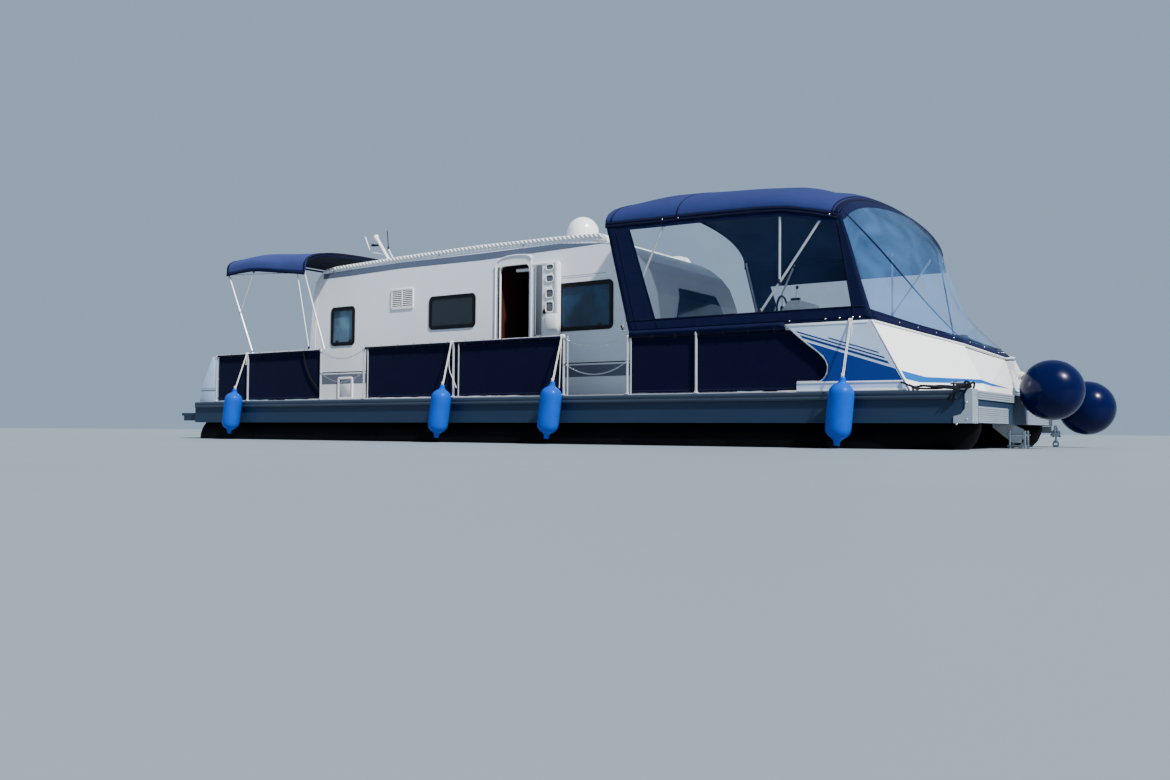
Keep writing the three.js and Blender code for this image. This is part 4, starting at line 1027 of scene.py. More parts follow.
# %% Aerial, a stout mast that leans aft, with two whips
MAST_Y = -0.4
mast_line = [at(9.69, MAST_Y, 2.2), at(10.165, MAST_Y, 2.815)]
along_mast = (mast_line[1] - mast_line[0]).normalized()
pipe(bm, mast_line, 0.028, 16)
mast_head = [(0, -0.035), (0.042, -0.03), (0.044, 0.02), (0.03, 0.035), (0, 0.038)]
turned(bm, mast_head, mast_line[1], along_mast, 20)
mast_foot = [(0, 0), (0.075, 0), (0.07, 0.02), (0.04, 0.05), (0, 0.05)]
turned(bm, mast_foot, at(9.7, MAST_Y, 2.205), UP, 24)
block(bm, (10.12, MAST_Y - 0.04, 2.668), (10.25, MAST_Y + 0.03, 2.692), 3, 0.006)
for points, radius, slot_number in (
    # points of distance aft and height, radius, slot
    ([(9.93, 2.5), (10.298, 2.575), (10.43, 2.85)], 0.009, 0),
    ([(10.21, 2.7), (10.3, 2.72)], 0.006, 3),
    ([(9.6, 2.21), (9.761, 2.427), (9.87, 2.589)], 0.009, 0),
    ([(9.87, 2.589), (9.905, 2.9)], 0.007, 3),
):
    pipe(bm, [at(d, MAST_Y, h) for d, h in points], radius, 8, slot_index=slot_number)
turned(bm, [(0, -0.03), (0.014, -0.02), (0.014, 0.03), (0, 0.035)], at(9.873, MAST_Y, 2.6), UP, 12, 3)
materials = [WHITE_ABS, CARAVAN_WHITE, TINTED, BLACK_ABS]
piece("roof_shell", bm, materials, slot="white_plastic", replaces=["van_roof"], sharp=30)

# %% [markdown]
# ## Windows
# A caravan window is a blown acrylic pane that hangs on its upper edge in a black frame. The frame is
# the inset rim of a rounded outline, drawn out and bevelled; the pane is a thin slab inside it. A blind
# is drawn down behind most panes, and two latches hold the lower edge.

# %% Windows


def rounded(d0, d1, h0, h1, corner, steps=5):
    """An outline with round corners, in distance aft and height."""
    points = []
    for cd, ch, start in (
        (d1 - corner, h1 - corner, 0),
        (d0 + corner, h1 - corner, 90),
        (d0 + corner, h0 + corner, 180),
        (d1 - corner, h0 + corner, 270),
    ):
        for i in range(steps + 1):
            angle = radians(start + 90 * i / steps)
            points.append((cd + corner * cos(angle), ch + corner * sin(angle)))
    return points


def rim(bm, outline, sign, wall, width, proud, slot_index=0):
    """A frame: the rim between an outline and its inset, drawn out from the wall."""
    part = bmesh.new()
    face = part.faces.new([part.verts.new(at(d, sign * wall, h)) for d, h in outline])
    part.normal_update()
    bmesh.ops.inset_region(part, faces=[face], thickness=width, use_boundary=True, use_even_offset=True)
    bmesh.ops.delete(part, geom=[face], context="FACES_ONLY")
    pushed = bmesh.ops.extrude_face_region(part, geom=part.faces[:])
    moved = {v for v in pushed["geom"] if isinstance(v, bmesh.types.BMVert)}
    bmesh.ops.translate(part, verts=list(moved), vec=(0, sign * proud, 0))
    bmesh.ops.recalc_face_normals(part, faces=part.faces[:])
    edges = [e for e in part.edges if set(e.verts) <= moved and e.calc_face_angle(0) > 0.7]
    soften(part, edges, 0.003)
    merge(bm, part, slot_index)


FRAME_WIDTH = 0.06
WALL_FACE = WALL_Y + 0.0004  # a unit stands just off the wall
WINDOWS = {
    # side, distance aft, height, blind slot (slot 5 is the blind in painted shade) and how far down it is
    "window_starboard_aft": (STARBOARD, 9.84, 10.4, 0.918, 1.552, 2, 1.0),
    "window_starboard_mid": (STARBOARD, 7.285, 8.215, 1.075, 1.585, 2, 0.0),
    "window_starboard_fore": (STARBOARD, 4.86, 5.98, 0.93, 1.602, 5, 1.0),
    "window_port_aft": (PORT, 8.9, 9.83, 0.93, 1.602, 5, 0.6),
    "window_port_fore": (PORT, 4.86, 5.98, 0.93, 1.602, 5, 0.4),
}
for name, (sign, d0, d1, h0, h1, blind_slot, down) in WINDOWS.items():
    bm = bmesh.new()
    rim(bm, rounded(d0, d1, h0, h1, 0.075), sign, WALL_FACE, FRAME_WIDTH, 0.012)
    inner = FRAME_WIDTH - 0.008
    pane = rounded(d0 + inner, d1 - inner, h0 + inner, h1 - inner, 0.03)
    # a pane with no blind takes the near opaque glazing, which paints the shade of the cabin behind it
    glass_slot = 1 if down else 4
    slab(bm, [at(d, sign * (WALL_Y + 0.002), h) for d, h in pane], ACROSS * sign * 0.006, glass_slot)
    drip = [(d0 + 0.05, sign * (WALL_Y + 0.002), h1 - 0.022), (d1 - 0.05, sign * (WALL_Y + 0.0165), h1)]
    block(bm, *drip, 0, 0.003)
    for share in (0.22, 0.78):
        d = between(d0, d1, share)
        block(bm, (d - 0.03, sign * 1.12, h0 + 0.065), (d + 0.03, sign * 1.144, h0 + 0.09), 0, 0.004)
    if down:
        foot = between(h1 - 0.1, h0 + 0.036, down)
        block(bm, (d0 + 0.036, sign * 1.124, foot), (d1 - 0.036, sign * 1.129, h1 - 0.036), blind_slot)
        block(bm, (d0 + 0.036, sign * 1.121, foot), (d1 - 0.036, sign * 1.134, foot + 0.017), 3, 0.002)
    materials = [BLACK_ABS, GLAZING, BLIND, WHITE_ABS, GLAZING_PAINTED_SHADE, BLIND_PAINTED_SHADE]
    piece(f"{name}_unit", bm, materials, slot="tinted_acrylic", replaces=[name])

# %% [markdown]
# ## Cabin inside
# Through the door and the glass a red-brown cabin shows. Thin panels line the port wall between the
# windows, with cupboard doors on them, and a few plain things stand on the worktop.

# %% Cabin lining
bm = bmesh.new()
LINING_Y = 1.112
WORKTOP = 0.906
for d0, d1 in ((4.5, 4.86), (5.98, 8.9), (9.83, 10.6)):
    block(bm, (d0, LINING_Y, 0.96), (d1, LINING_Y + 0.006, 1.58), 0)
block(bm, (4.5, LINING_Y, 0.06), (10.6, LINING_Y + 0.006, 0.96), 0)
block(bm, (4.9, LINING_Y, 1.58), (10.5, LINING_Y + 0.006, 2.03), 0)
HALF_DOOR = 0.235  # half the width of a cupboard door
for d in (6.6, 7.1, 7.6):
    block(bm, (d - HALF_DOOR, 0.776, 1.67), (d + HALF_DOOR, 0.789, 1.985), 1, 0.004)
    block(bm, (d - HALF_DOOR, 0.546, 0.1), (d + HALF_DOOR, 0.559, 0.84), 1, 0.004)
# a partition beside the door, whose edge catches the light
block(bm, (6.86, -1.1, 0.055), (6.9, -0.35, 2.13), 0, 0.004)
piece("cabin_lining", bm, [CABIN_BROWN, OAK_LAMINATE], slot="wood")

# %% Things on the worktop
bm = bmesh.new()
bottle = [(0, 0), (0.05, 0), (0.06, 0.02), (0.055, 0.12), (0.03, 0.17), (0.03, 0.19), (0, 0.195)]
turned(bm, bottle, at(6.48, 0.78, WORKTOP), UP, 20)
cup = [(0, 0), (0.03, 0), (0.034, 0.1), (0.028, 0.1), (0.026, 0.01), (0, 0.01)]
turned(bm, cup, at(6.66, 0.7, WORKTOP), UP, 16, 1)
block(bm, (6.36, 0.62, WORKTOP), (6.75, 1.0, 0.925), 2, 0.004)
# the rolled fly screen over the opening, and a grey step box inside it
pipe(bm, [at(6.62, -1.015, 1.875), at(6.3, -1.015, 1.868)], 0.026, 16)
block(bm, (6.5, -0.95, 0.055), (6.82, -0.6, 0.42), 2, 0.02)
piece("galley_things", bm, [WHITE_ABS, STAINLESS, GREY_MESH], slot="white_plastic")

# %% [markdown]
# ## Door
# The door is folded back flat on the wall, so that its inner face looks out. It is a moulded white
# leaf with a raised border, the case of a fly screen down its hinge side, four pockets, a bin and a
# handle. Over the opening a bright arched edge keeps rain out.

# %% Door
DOOR_FACE = -1.214
DOOR_BACK = -1.178
LEAF_SEAT = DOOR_FACE + 0.005  # where what is laid on the leaf starts
HINGE_D, HINGE_Y = 6.265, -1.172
bm = bmesh.new()
leaf = rounded(5.712, 6.235, 0.068, 1.922, 0.064)
slab(bm, [at(d, DOOR_BACK, h) for d, h in leaf], ACROSS * (DOOR_FACE - DOOR_BACK + 0.004), 0, 0.006)
rim(bm, rounded(5.722, 6.225, 0.078, 1.912, 0.056), STARBOARD, -DOOR_FACE - 0.006, 0.03, 0.008)
block(bm, (6.128, DOOR_FACE + 0.006, 0.12), (6.145, DOOR_FACE - 0.004, 1.87), 3, 0.002)
block(bm, (6.0, DOOR_FACE + 0.006, 0.9), (6.125, DOOR_FACE - 0.007, 1.88), 2, 0.004)
for d in (6.0, 6.118):
    block(bm, (d, DOOR_FACE + 0.004, 0.9), (d + 0.01, DOOR_FACE - 0.012, 1.88), 1, 0.002)
for low, high in ((1.79, 1.885), (1.62, 1.735), (1.4, 1.535), (1.2, 1.36)):
    rim(bm, rounded(5.805, 5.955, low, high, 0.045), STARBOARD, -LEAF_SEAT, 0.016, 0.015)
    block(bm, (5.815, LEAF_SEAT, low + 0.01), (5.945, DOOR_FACE - 0.002, high - 0.01), 2, 0.002)
block(bm, (5.74, LEAF_SEAT, 0.96), (5.94, DOOR_FACE - 0.03, 1.18), 0, 0.03)
block(bm, (5.73, LEAF_SEAT, 0.94), (5.79, DOOR_FACE - 0.016, 1.9), 0, 0.008)
rim(bm, rounded(5.735, 5.985, 0.2, 0.84, 0.04), STARBOARD, -LEAF_SEAT, 0.012, 0.009)
block(bm, (5.95, LEAF_SEAT, 1.19), (5.985, DOOR_FACE - 0.018, 1.25), 3, 0.006)
for h in (0.3, 1.0, 1.7):
    pipe(bm, [at(HINGE_D, HINGE_Y, h), at(HINGE_D, HINGE_Y, h + 0.09)], 0.006, 12, slot_index=1)
    block(bm, (6.21, -1.181, h + 0.045), (6.263, -1.176, h + 0.09), 1)
materials = [WHITE_ABS, ALUMINIUM, GREY_MESH, BLACK_ABS]
piece("door_leaf", bm, materials, body="door", slot="white_plastic", replaces=["door"])

# %% Edge of the opening
bm = bmesh.new()
ARCH = [(6.91, 1.94), (6.87, 2.0), (6.78, 2.045), (6.6, 2.07), (6.42, 2.065), (6.3, 2.045), (6.24, 2.0)]
pipe(bm, [at(d, -1.164, h) for d, h in ARCH], 0.011, 12, smooth=True)
pipe(bm, [at(6.9, -1.163, 1.94), at(6.9, -1.163, 0.1)], 0.009, 12)
pipe(bm, [at(6.838, -1.162, 1.92), at(6.838, -1.162, 0.08)], 0.012, 12, slot_index=1)
for h in (0.75, 1.5):
    block(bm, (6.832, -1.152, h), (6.86, -1.17, h + 0.07), 0, 0.004)
piece("door_edge_trim", bm, [WHITE_ABS, RUBBER], slot="white_plastic")

# %% [markdown]
# ## Vent, service flap and dome
# The refrigerator's vent has nine slanted slats in a frame, over a dark space that a grey plate
# behind the slats paints as shade. The service flap is a plate in a frame with its locks, and the wall's
# stripe runs on over it. The dome is a turned form with a joint ring.

# %% Vent
bm = bmesh.new()
rim(bm, rounded(8.545, 9.03, 1.43, 1.752, 0.02), STARBOARD, WALL_FACE, 0.03, 0.0135)
# a grey plate behind the slats: painted shade of the space behind them
block(bm, (8.56, -WALL_FACE, 1.445), (9.015, -WALL_Y - 0.002, 1.737), 1)
SLATS = 9
SLAT = [(0.012, 0), (0.0135, 0.003), (0.006, 0.015), (0.004, 0.012)]
for h in spread(1.465, 1.7, SLATS - 1):
    outline = [at(8.572, -WALL_Y - out, h + rise) for out, rise in SLAT]
    slab(bm, outline, ALONG * -0.43, 0)
block(bm, (8.775, -WALL_Y - 0.003, 1.46), (8.8, -WALL_Y - 0.0145, 1.722), 0, 0.002)
piece("fridge_vent_unit", bm, [WHITE_ABS, GREY_MESH], slot="white_plastic", replaces=["fridge_vent"])

# %% Service flap
bm = bmesh.new()
rim(bm, rounded(9.865, 10.22, 0.032, 0.405, 0.045), STARBOARD, WALL_FACE, 0.04, 0.0135)
flap = rounded(9.9, 10.185, 0.067, 0.37, 0.02)
slab(bm, [at(d, -WALL_FACE, h) for d, h in flap], ACROSS * -0.009, 1, 0.002)
for d in (9.94, 10.145):
    for h, radius in ((0.34, 0.009), (0.1, 0.006)):
        bolt_head(bm, at(d, -WALL_Y - 0.009, h), -ACROSS, radius, 2)
stripe = rounded(9.915, 10.17, STRIPE_LOW, 0.362, 0.01)
slab(bm, [at(d, -WALL_Y - 0.0092, h) for d, h in stripe], ACROSS * -0.001, 3)
materials = [WHITE_ABS, CARAVAN_SKIN, BLACK_ABS, BAND_GREY]
piece("service_flap_unit", bm, materials, slot="white_plastic", replaces=["service_flap"])

# %% Satellite dome
DOME_RADIUS, DOME_STRAIGHT = 0.235, 0.24
profile = [(0, 0), (0.215, 0), (0.228, 0.006), (0.234, 0.02), (0.235, 0.1), (0.235, 0.114)]
profile += [(0.2325, 0.116), (0.2325, 0.122), (0.235, 0.124), (0.235, DOME_STRAIGHT)]
for i in range(1, 12):
    angle = pi / 2 * i / 12
    profile.append((DOME_RADIUS * cos(angle), DOME_STRAIGHT + DOME_RADIUS * sin(angle)))
profile.append((0, DOME_STRAIGHT + DOME_RADIUS))
bm = bmesh.new()
turned(bm, profile, at(5.89, -0.4, 2.2056), UP, 48)
piece("dome_cover", bm, [WHITE_ABS], slot="white_plastic", replaces=["satellite_dome"])

# %% [markdown]
# ## Bulwarks and prow
# The bulwark is a pale panel with a curved cut at its aft end. It carries a plain pattern: a blue field
# under a straight slanting edge, and three slim stripes over it. Each colour is a thin slab laid on
# the panel. A bright tube edges the cut, and the panel stands on a pale sill.

# %% Bulwark graphic and rails
BULWARK_Y = 1.985
FIELD = [(0.705, 0.112), (0.775, 0.232), (1.765, 0.555), (1.7, 0.505), (1.57, 0.395), (1.52, 0.3)]
FIELD += [(1.523, 0.2), (1.6, 0.116)]
SLANT_STRIPES = [
    # a stripe's outline
    [(0.84, 0.283), (1.81, 0.599), (1.845, 0.636), (0.86, 0.315)],
    [(0.885, 0.342), (1.868, 0.662), (1.888, 0.684), (0.9, 0.362)],
    [(0.95, 0.4), (1.5, 0.579), (1.52, 0.598), (0.96, 0.416)],
]
CUT_EDGE = [(2.008, 0.757), (1.9, 0.655), (1.75, 0.53), (1.6, 0.41), (1.53, 0.31), (1.534, 0.2)]
CUT_EDGE += [(1.6, 0.118), (1.7, 0.112), (1.88, 0.112)]
PALE_RAILS = [
    # first distance, last distance, low height, high height, distance out
    (0.7, 1.878, 0.094, 0.106, 0.007),
    (0.66, 1.878, 0.004, 0.024, 0.009),
    (1.07, 1.98, 0.735, 0.76, 0.005),
]

for side, sign in SIDES:
    bm = bmesh.new()
    shapes = [(FIELD, 0)] + [(outline, 3) for outline in SLANT_STRIPES]
    for outline, slot_index in shapes:
        places = [at(d, sign * (BULWARK_Y - SUNK), h) for d, h in outline]
        slab(bm, places, ACROSS * sign * 0.0022, slot_index)
    cut = [at(d, sign * (BULWARK_Y - 0.01), h) for d, h in CUT_EDGE]
    pipe(bm, cut, 0.012, 12, smooth=True, slot_index=1)
    for d0, d1, low, high, proud in PALE_RAILS:
        y0, y1 = sign * (BULWARK_Y - SUNK), sign * (BULWARK_Y + proud)
        block(bm, (d0, y0, low), (d1, y1, high), 2, 0.002)
    materials = [ROYAL_VINYL, ALUMINIUM, CARAVAN_WHITE, DEEP_VINYL]
    piece(f"bulwark_trim_{side}", bm, materials, slot="light_paint", sharp=30)

# %% [markdown]
# The prow is a gelcoat moulding of four facets that meet on the centreline. A cyan stripe runs round
# its lower part and fades to a point, and a white bead holds the canopy along its upper edge. Both
# follow the facets: a place on the prow is a facet's share across and its share up.

# %% Prow
PROW = [
    # low distance, high distance, side, top height
    (0.62, 1.028, -1.985, 0.76),
    (0.044, 0.292, -1.195, 0.527),
    (0.008, 0.128, 0.0, 0.44),
    (0.044, 0.292, 1.195, 0.527),
    (0.62, 1.028, 1.985, 0.76),
]


def on_prow(station, share, proud):
    """A point on the prow: station 0 to 4 from starboard to port, share of the height, distance out."""
    first = min(3, int(station))
    part = station - first
    a, b = PROW[first], PROW[first + 1]
    low_a, high_a = at(a[0], a[2], 0), at(a[1], a[2], a[3])
    low_b, high_b = at(b[0], b[2], 0), at(b[1], b[2], b[3])
    # a facet is creased a little along its diagonal, so it is two triangles
    if share < part:
        along, rise = low_b - low_a, high_b - low_b
    else:
        along, rise = high_b - high_a, high_a - low_a
    out = along.cross(rise).normalized()
    return low_a + along * part + rise * share + (out if out.x > 0 else -out) * proud


def prow_strip(bm, stations, proud, slot_index):
    """A strip on the prow from (station, low share, high share) rows."""
    part = bmesh.new()
    rows = []
    for station, low, high in stations:
        corners = ((low, 0.0005), (low, proud), (high, proud), (high, 0.0005))
        rows.append([part.verts.new(on_prow(station, share, reach)) for share, reach in corners])
    for a, b in zip(rows, rows[1:]):
        for i in range(4):
            part.faces.new((a[i], b[i], b[(i + 1) % 4], a[(i + 1) % 4]))
    part.faces.new(rows[0])
    part.faces.new(rows[-1])
    bmesh.ops.recalc_face_normals(part, faces=part.faces[:])
    merge(bm, part, slot_index)


STRIPE_OUTER = [(0.02, 0.165, 0.285), (0.5, 0.17, 0.272), (0.999, 0.177, 0.258)]
STRIPE_INNER = [(1.001, 0.176, 0.255), (1.3, 0.172, 0.225), (1.77, 0.165, 0.17)]
bm = bmesh.new()
for half in (STRIPE_OUTER, STRIPE_INNER):
    rows = [follow(half, station) for station in spread(half[0][0], half[-1][0], 24)]
    prow_strip(bm, rows, 0.003, 0)
    prow_strip(bm, [(4 - station, low, high) for station, low, high in rows], 0.003, 0)
top_bead = [on_prow(s, 0.985, 0.006) for s in (0.02, 0.5, 0.999, 1.5, 2.0, 2.5, 3.001, 3.5, 3.98)]
pipe(bm, top_bead, 0.011, 12, slot_index=1)
# a black line under the bead: a painted shadow
pipe(bm, [on_prow(s, 0.935, 0.002) for s in (1.02, 1.5, 1.999, 2.5, 2.98)], 0.006, 8, slot_index=2)
pipe(bm, [on_prow(s, 0.1, 0.001) for s in (2.02, 2.5, 2.98)], 0.003, 8, slot_index=2)
piece("prow_trim", bm, [CYAN_VINYL, WHITE_ABS, RUBBER], slot="gelcoat", sharp=30)

# %% [markdown]
# ## Bow canopy
# The roof is one sheet of acrylic canvas, stretched over hoops. It is a grid whose rows follow a table
# of arches, smoothly from one to the next, so the cloth has one skin from hem to hem and from the
# caravan to the front seam. It sinks a little between the hoops and puckers where it is sewn.

# %% Canopy roof
CANOPY_Y = 1.975
ROOF_AFT, ROOF_FORE = 4.45, 1.4
ARCHES = [
    # distance aft, hem height, crown height, lean of the crown
    (1.4, 1.948, 2.27, -0.1),
    (1.52, 1.982, 2.395, -0.04),
    (1.75, 2.04, 2.462, 0.0),
    (2.09, 2.105, 2.568, 0.0),
    (2.9, 2.14, 2.652, 0.0),
    (3.8, 2.158, 2.705, 0.0),
    (4.45, 2.175, 2.63, 0.0),
]


def arch_place(d, angle, proud=0.0):
    """A point on the canopy's roof: distance aft, angle from the starboard hem, distance out."""
    _, hem, crown, lean = smooth_follow(ARCHES, d)
    return at(
        d + lean * sin(angle),
        -(CANOPY_Y + proud) * cos(angle),
        hem + (crown - hem + proud) * sin(angle),
    )


HOOPS = (1.56, 2.095, 3.8, 4.4)


def on_roof(d, angle, proud=0.0):
    """A point on the stretched cloth: it sinks between the hoops and puckers where it is sewn."""
    nearest = min(abs(d - hoop) for hoop in HOOPS)
    sunk = 0.006 * (1 - exp(-((nearest / 0.16) ** 2))) * sin(angle)
    pucker = 0.0025 * sin(angle * 34 + 4 * d) * exp(-nearest / 0.07)
    fold = 0.003 * sin(5.5 * d + 7 * angle) * sin(angle)
    return arch_place(d, angle, pucker + fold - sunk + proud)


def roof_place(u, v):
    return on_roof(between(ROOF_AFT, ROOF_FORE, v), pi * u)


def ribbon(bm, places, widths, slot_index):
    """A narrow strip of cloth between pairs of points."""
    rows = [(bm.verts.new(a), bm.verts.new(b)) for a, b in zip(places, widths)]
    for (a, b), (c, e) in zip(rows, rows[1:]):
        bm.faces.new((a, b, e, c)).material_index = slot_index


def canvas_piece(name, bm, materials, thickness, painted_shade_lining=0, **options):
    """A sheet of cloth or film with its real thickness. Its inner face can take a darker material, which
    paints the shade under the sheet.
    """
    bmesh.ops.recalc_face_normals(bm, faces=bm.faces[:])
    if painted_shade_lining and sum(face.normal.z for face in bm.faces) < 0:
        bmesh.ops.reverse_faces(bm, faces=bm.faces[:])
    thing = piece(name, bm, materials, **options)
    skin = thing.modifiers.new("thickness", "SOLIDIFY")
    skin.thickness = thickness
    skin.offset = -1.0
    skin.material_offset = painted_shade_lining
    return thing


bm = bmesh.new()
faces = sheet(bm, 96, 120, roof_place)
lay_uv(bm, faces, ALONG, Vector((0, 1, 0.4)))
roof = canvas_piece(
    "canopy_roof_cloth",
    bm,
    # the darker inner face is painted shade under the roof
    [CANVAS, SCREEN_CLOTH],
    0.002,
    painted_shade_lining=1,
    slot="canopy_cloth",
    replaces=["canopy_roof"],
)

# %% [markdown]
# Seams cross the roof at the hoops, in the darker canvas that paints the shade of their folds. A dark
# valance hangs from each hem over the upper edge of the sides, and a bound zip closes the front seam.
# They are ribbons laid a little proud of the cloth.

# %% Roof seams and valances
bm = bmesh.new()
angles = spread(0, pi, 96)
for d, width in ((3.42, 0.02), (1.47, 0.02), (4.36, 0.03)):
    near = [on_roof(d - width / 2, angle, 0.003) for angle in angles]
    ribbon(bm, near, [on_roof(d + width / 2, angle, 0.003) for angle in angles], 0)
near = [on_roof(1.402, angle, 0.003) for angle in angles]
ribbon(bm, near, [on_roof(1.45, angle, 0.003) for angle in angles], 1)
VALANCE = 0.07
for _, sign in SIDES:
    rows = [[], [], []]
    for d in spread(ROOF_AFT, ROOF_FORE + 0.01, 60):
        hem = smooth_follow(ARCHES, d)[1]
        wave = 0.0015 * sin(19 * d)
        rows[0].append(at(d, sign * (CANOPY_Y + 0.001), hem + 0.006))
        rows[1].append(at(d, sign * (CANOPY_Y + 0.005 + wave), hem - VALANCE / 2))
        rows[2].append(at(d, sign * (CANOPY_Y + 0.003 - wave), hem - VALANCE))
    ribbon(bm, rows[0], rows[1], 1)
    ribbon(bm, rows[1], rows[2], 1)
lay_uv(bm, bm.faces[:], ALONG, Vector((0, 1, 1)))
roof_seams = canvas_piece("canopy_roof_seams", bm, [CANVAS_PAINTED_SHADE, BINDING], 0.0015, slot="canopy_cloth")

# %% [markdown]
# ## Canopy sides
# Each side is a sheet of clear film with canvas sewn round it; that canvas is painted darker, as shade.
# It is one grid: some of its columns and rows are kept for the border, so that the change from canvas to
# film falls on a grid line.

# %% Grid of a canopy side
SIDE_LOW = 0.768
BAND_HIGH = 0.915


def line_at(low, high, h):
    """Distance aft at a height, on a line between two points of distance and height."""
    return between(low[0], high[0], (h - low[1]) / (high[1] - low[1]))


REAR_EDGE = ((4.092, 0.768), (4.45, 2.175))
REAR_BORDER = ((3.67, 0.768), (4.13, 2.17))
FRONT_BORDER = ((1.225, 0.768), (1.425, 1.948))
FRONT_EDGE = ((1.014, 0.768), (1.378, 1.948))
COLUMNS, REAR_COLUMNS, FRONT_COLUMNS = 64, 7, 3
ROWS, LOW_ROWS, TOP_ROWS = 30, 3, 3


def portion(value, total, first, last):
    """Where a grid line lies: 0 to 1 in the first border, 1 to 2 between, 2 to 3 in the last border."""
    line = value * total
    if line <= first:
        return line / first
    if line >= total - last:
        return 2 + (line - (total - last)) / last
    return 1 + (line - first) / (total - last - first)


def side_place(sign, window_top):
    def place(u, v):
        across = portion(u, COLUMNS, REAR_COLUMNS, FRONT_COLUMNS)
        up_share = portion(v, ROWS, LOW_ROWS, TOP_ROWS)
        # the height of a grid row follows the hem, so it is found for the column's own distance
        guess = between(4.3, 1.2, u)
        for _ in range(3):
            hem = smooth_follow(ARCHES, guess)[1] - 0.001
            high = min(window_top, hem - 0.1) if window_top < 1.9 else hem - 0.115
            lines = (SIDE_LOW, BAND_HIGH, high, hem)
            first = min(2, int(up_share))
            h = between(lines[first], lines[first + 1], up_share - first)
            edges = [line_at(*edge, h) for edge in (REAR_EDGE, REAR_BORDER, FRONT_BORDER, FRONT_EDGE)]
            column = min(2, int(across))
            guess = between(edges[column], edges[column + 1], across - column)
        ripple = 0.003 * sin(2.2 * guess + 3.0 * h) * sin(pi * u) * sin(pi * v)
        gather = 0.0016 * sin(46 * guess) * exp(-(h - SIDE_LOW) / 0.2)
        return at(guess, sign * (CANOPY_Y - 0.003 + ripple + gather), h)

    return place


def border(sign):
    """Which cells are film. The port sheet has no canvas along its front edge."""
    front_columns = FRONT_COLUMNS if sign == STARBOARD else 0

    def choose(u, v):
        inside_u = REAR_COLUMNS / COLUMNS < u < 1 - front_columns / COLUMNS
        inside_v = LOW_ROWS / ROWS < v < 1 - TOP_ROWS / ROWS
        return 1 if inside_u and inside_v else 0

    return choose

# %% [markdown]
# Seams run where the canvas meets the film, a skirt hangs outside the rail, and snaps hold the edges.
# Seams and skirt are ribbons laid proud of the sheet, as on the roof.

# %% Seams and snaps of a side
SIDE_SEAMS = [
    # edge, width, height of its upper end
    (REAR_BORDER, 0.014, 2.05),
    (FRONT_BORDER, 0.02, 1.86),
    (((3.98, 0.8), (4.3, 2.08)), 0.012, 2.05),
]


def side_seams(side, sign):
    bm = bmesh.new()
    y = sign * (CANOPY_Y + 0.0015)
    for edge, width, high in SIDE_SEAMS:
        heights = spread(0.79, high, 24)
        near = [at(line_at(*edge, h) - width / 2, y, h) for h in heights]
        ribbon(bm, near, [at(line_at(*edge, h) + width / 2, y, h) for h in heights], 0)
    for h0, h1 in ((BAND_HIGH - 0.008, BAND_HIGH + 0.008), (SIDE_LOW, SIDE_LOW + 0.018)):
        places = [d for d in spread(4.1, 1.1, 40) if line_at(*FRONT_EDGE, h0) < d < line_at(*REAR_EDGE, h0)]
        ribbon(bm, [at(d, y, h0) for d in places], [at(d, y, h1) for d in places], 0)
    # a skirt hangs outside the rail
    y = sign * (CANOPY_Y + 0.0045)
    places = spread(4.09, 2.03, 30)
    foot = [at(d, y, 0.728 + 0.003 * sin(9 * d)) for d in places]
    ribbon(bm, [at(d, y, 0.79) for d in places], foot, 1)
    lay_uv(bm, bm.faces[:], ALONG, UP)
    return canvas_piece(f"canopy_side_{side}_seams", bm, [BINDING, CANVAS_PAINTED_SHADE], 0.001, slot="canopy_cloth")


def side_snaps(side, sign):
    bm = bmesh.new()
    snap_places = [(d, 0.8) for d in (1.97, 1.55, 1.39, 1.24, 1.16)]
    snap_places += [(d, smooth_follow(ARCHES, d)[1] - 0.03) for d in (3.4, 3.62, 1.5)]
    for d, h in snap_places:
        bolt_head(bm, at(d, sign * (CANOPY_Y + 0.0045), h), ACROSS * sign, 0.007)
    return piece(f"canopy_side_{side}_snaps", bm, [STAINLESS], slot="steel")

# %% Canopy sides
for side, sign in SIDES:
    window_top = 2.06 if sign == STARBOARD else 1.8
    bm = bmesh.new()
    faces = sheet(bm, COLUMNS, ROWS, side_place(sign, window_top), choose=border(sign))
    lay_uv(bm, faces, ALONG, UP)
    panel = canvas_piece(
        f"canopy_side_{side}_sheet",
        bm,
        [CANVAS_PAINTED_SHADE, SIDE_FILM],
        0.0012,
        slot="clear_vinyl",
        replaces=[f"canopy_side_{side}"],
    )
    seams = side_seams(side, sign)
    snaps = side_snaps(side, sign)

# %% [markdown]
# ## Canopy front
# The windscreen of the canopy is one sheet too. It starts from the front arch and comes down in a
# swell to the prow's upper edge, and at each corner it fills the triangle back to the side. Its rows
# follow seven stations from starboard to port. On the port side it hangs slack and a little drawn in.

# %% Stations of the canopy front
FRONT_STATIONS = [
    # station, arch angle in degrees, low distance, low side, low height
    (0, 4, 1.022, -1.968, 0.77),
    (1, 9, 0.276, -1.06, 0.52),
    (2, 40, 0.205, -0.56, 0.484),
    (3, 90, 0.14, 0.0, 0.447),
    (4, 140, 0.19, 0.4, 0.474),
    (5, 171, 0.24, 0.8, 0.5),
    (6, 176, 1.022, 1.968, 0.77),
]
FRONT_HEM, FRONT_CROWN = 1.944, 2.266
FRONT_SLACK = [
    # station, how far the sheet swells there, how far it is drawn in: it hangs slack on the port side
    (0, 0.07, 0.0),
    (3, 0.07, 0.0),
    (4, 0.0, 0.25),
    (5, 0.0, 0.21),
    (6, 0.0, 0.0),
]
FRONT_COLUMNS_ALL = 84
FRONT_ROWS, FRONT_TOP_ROWS, FRONT_LOW_ROWS = 32, 3, 3


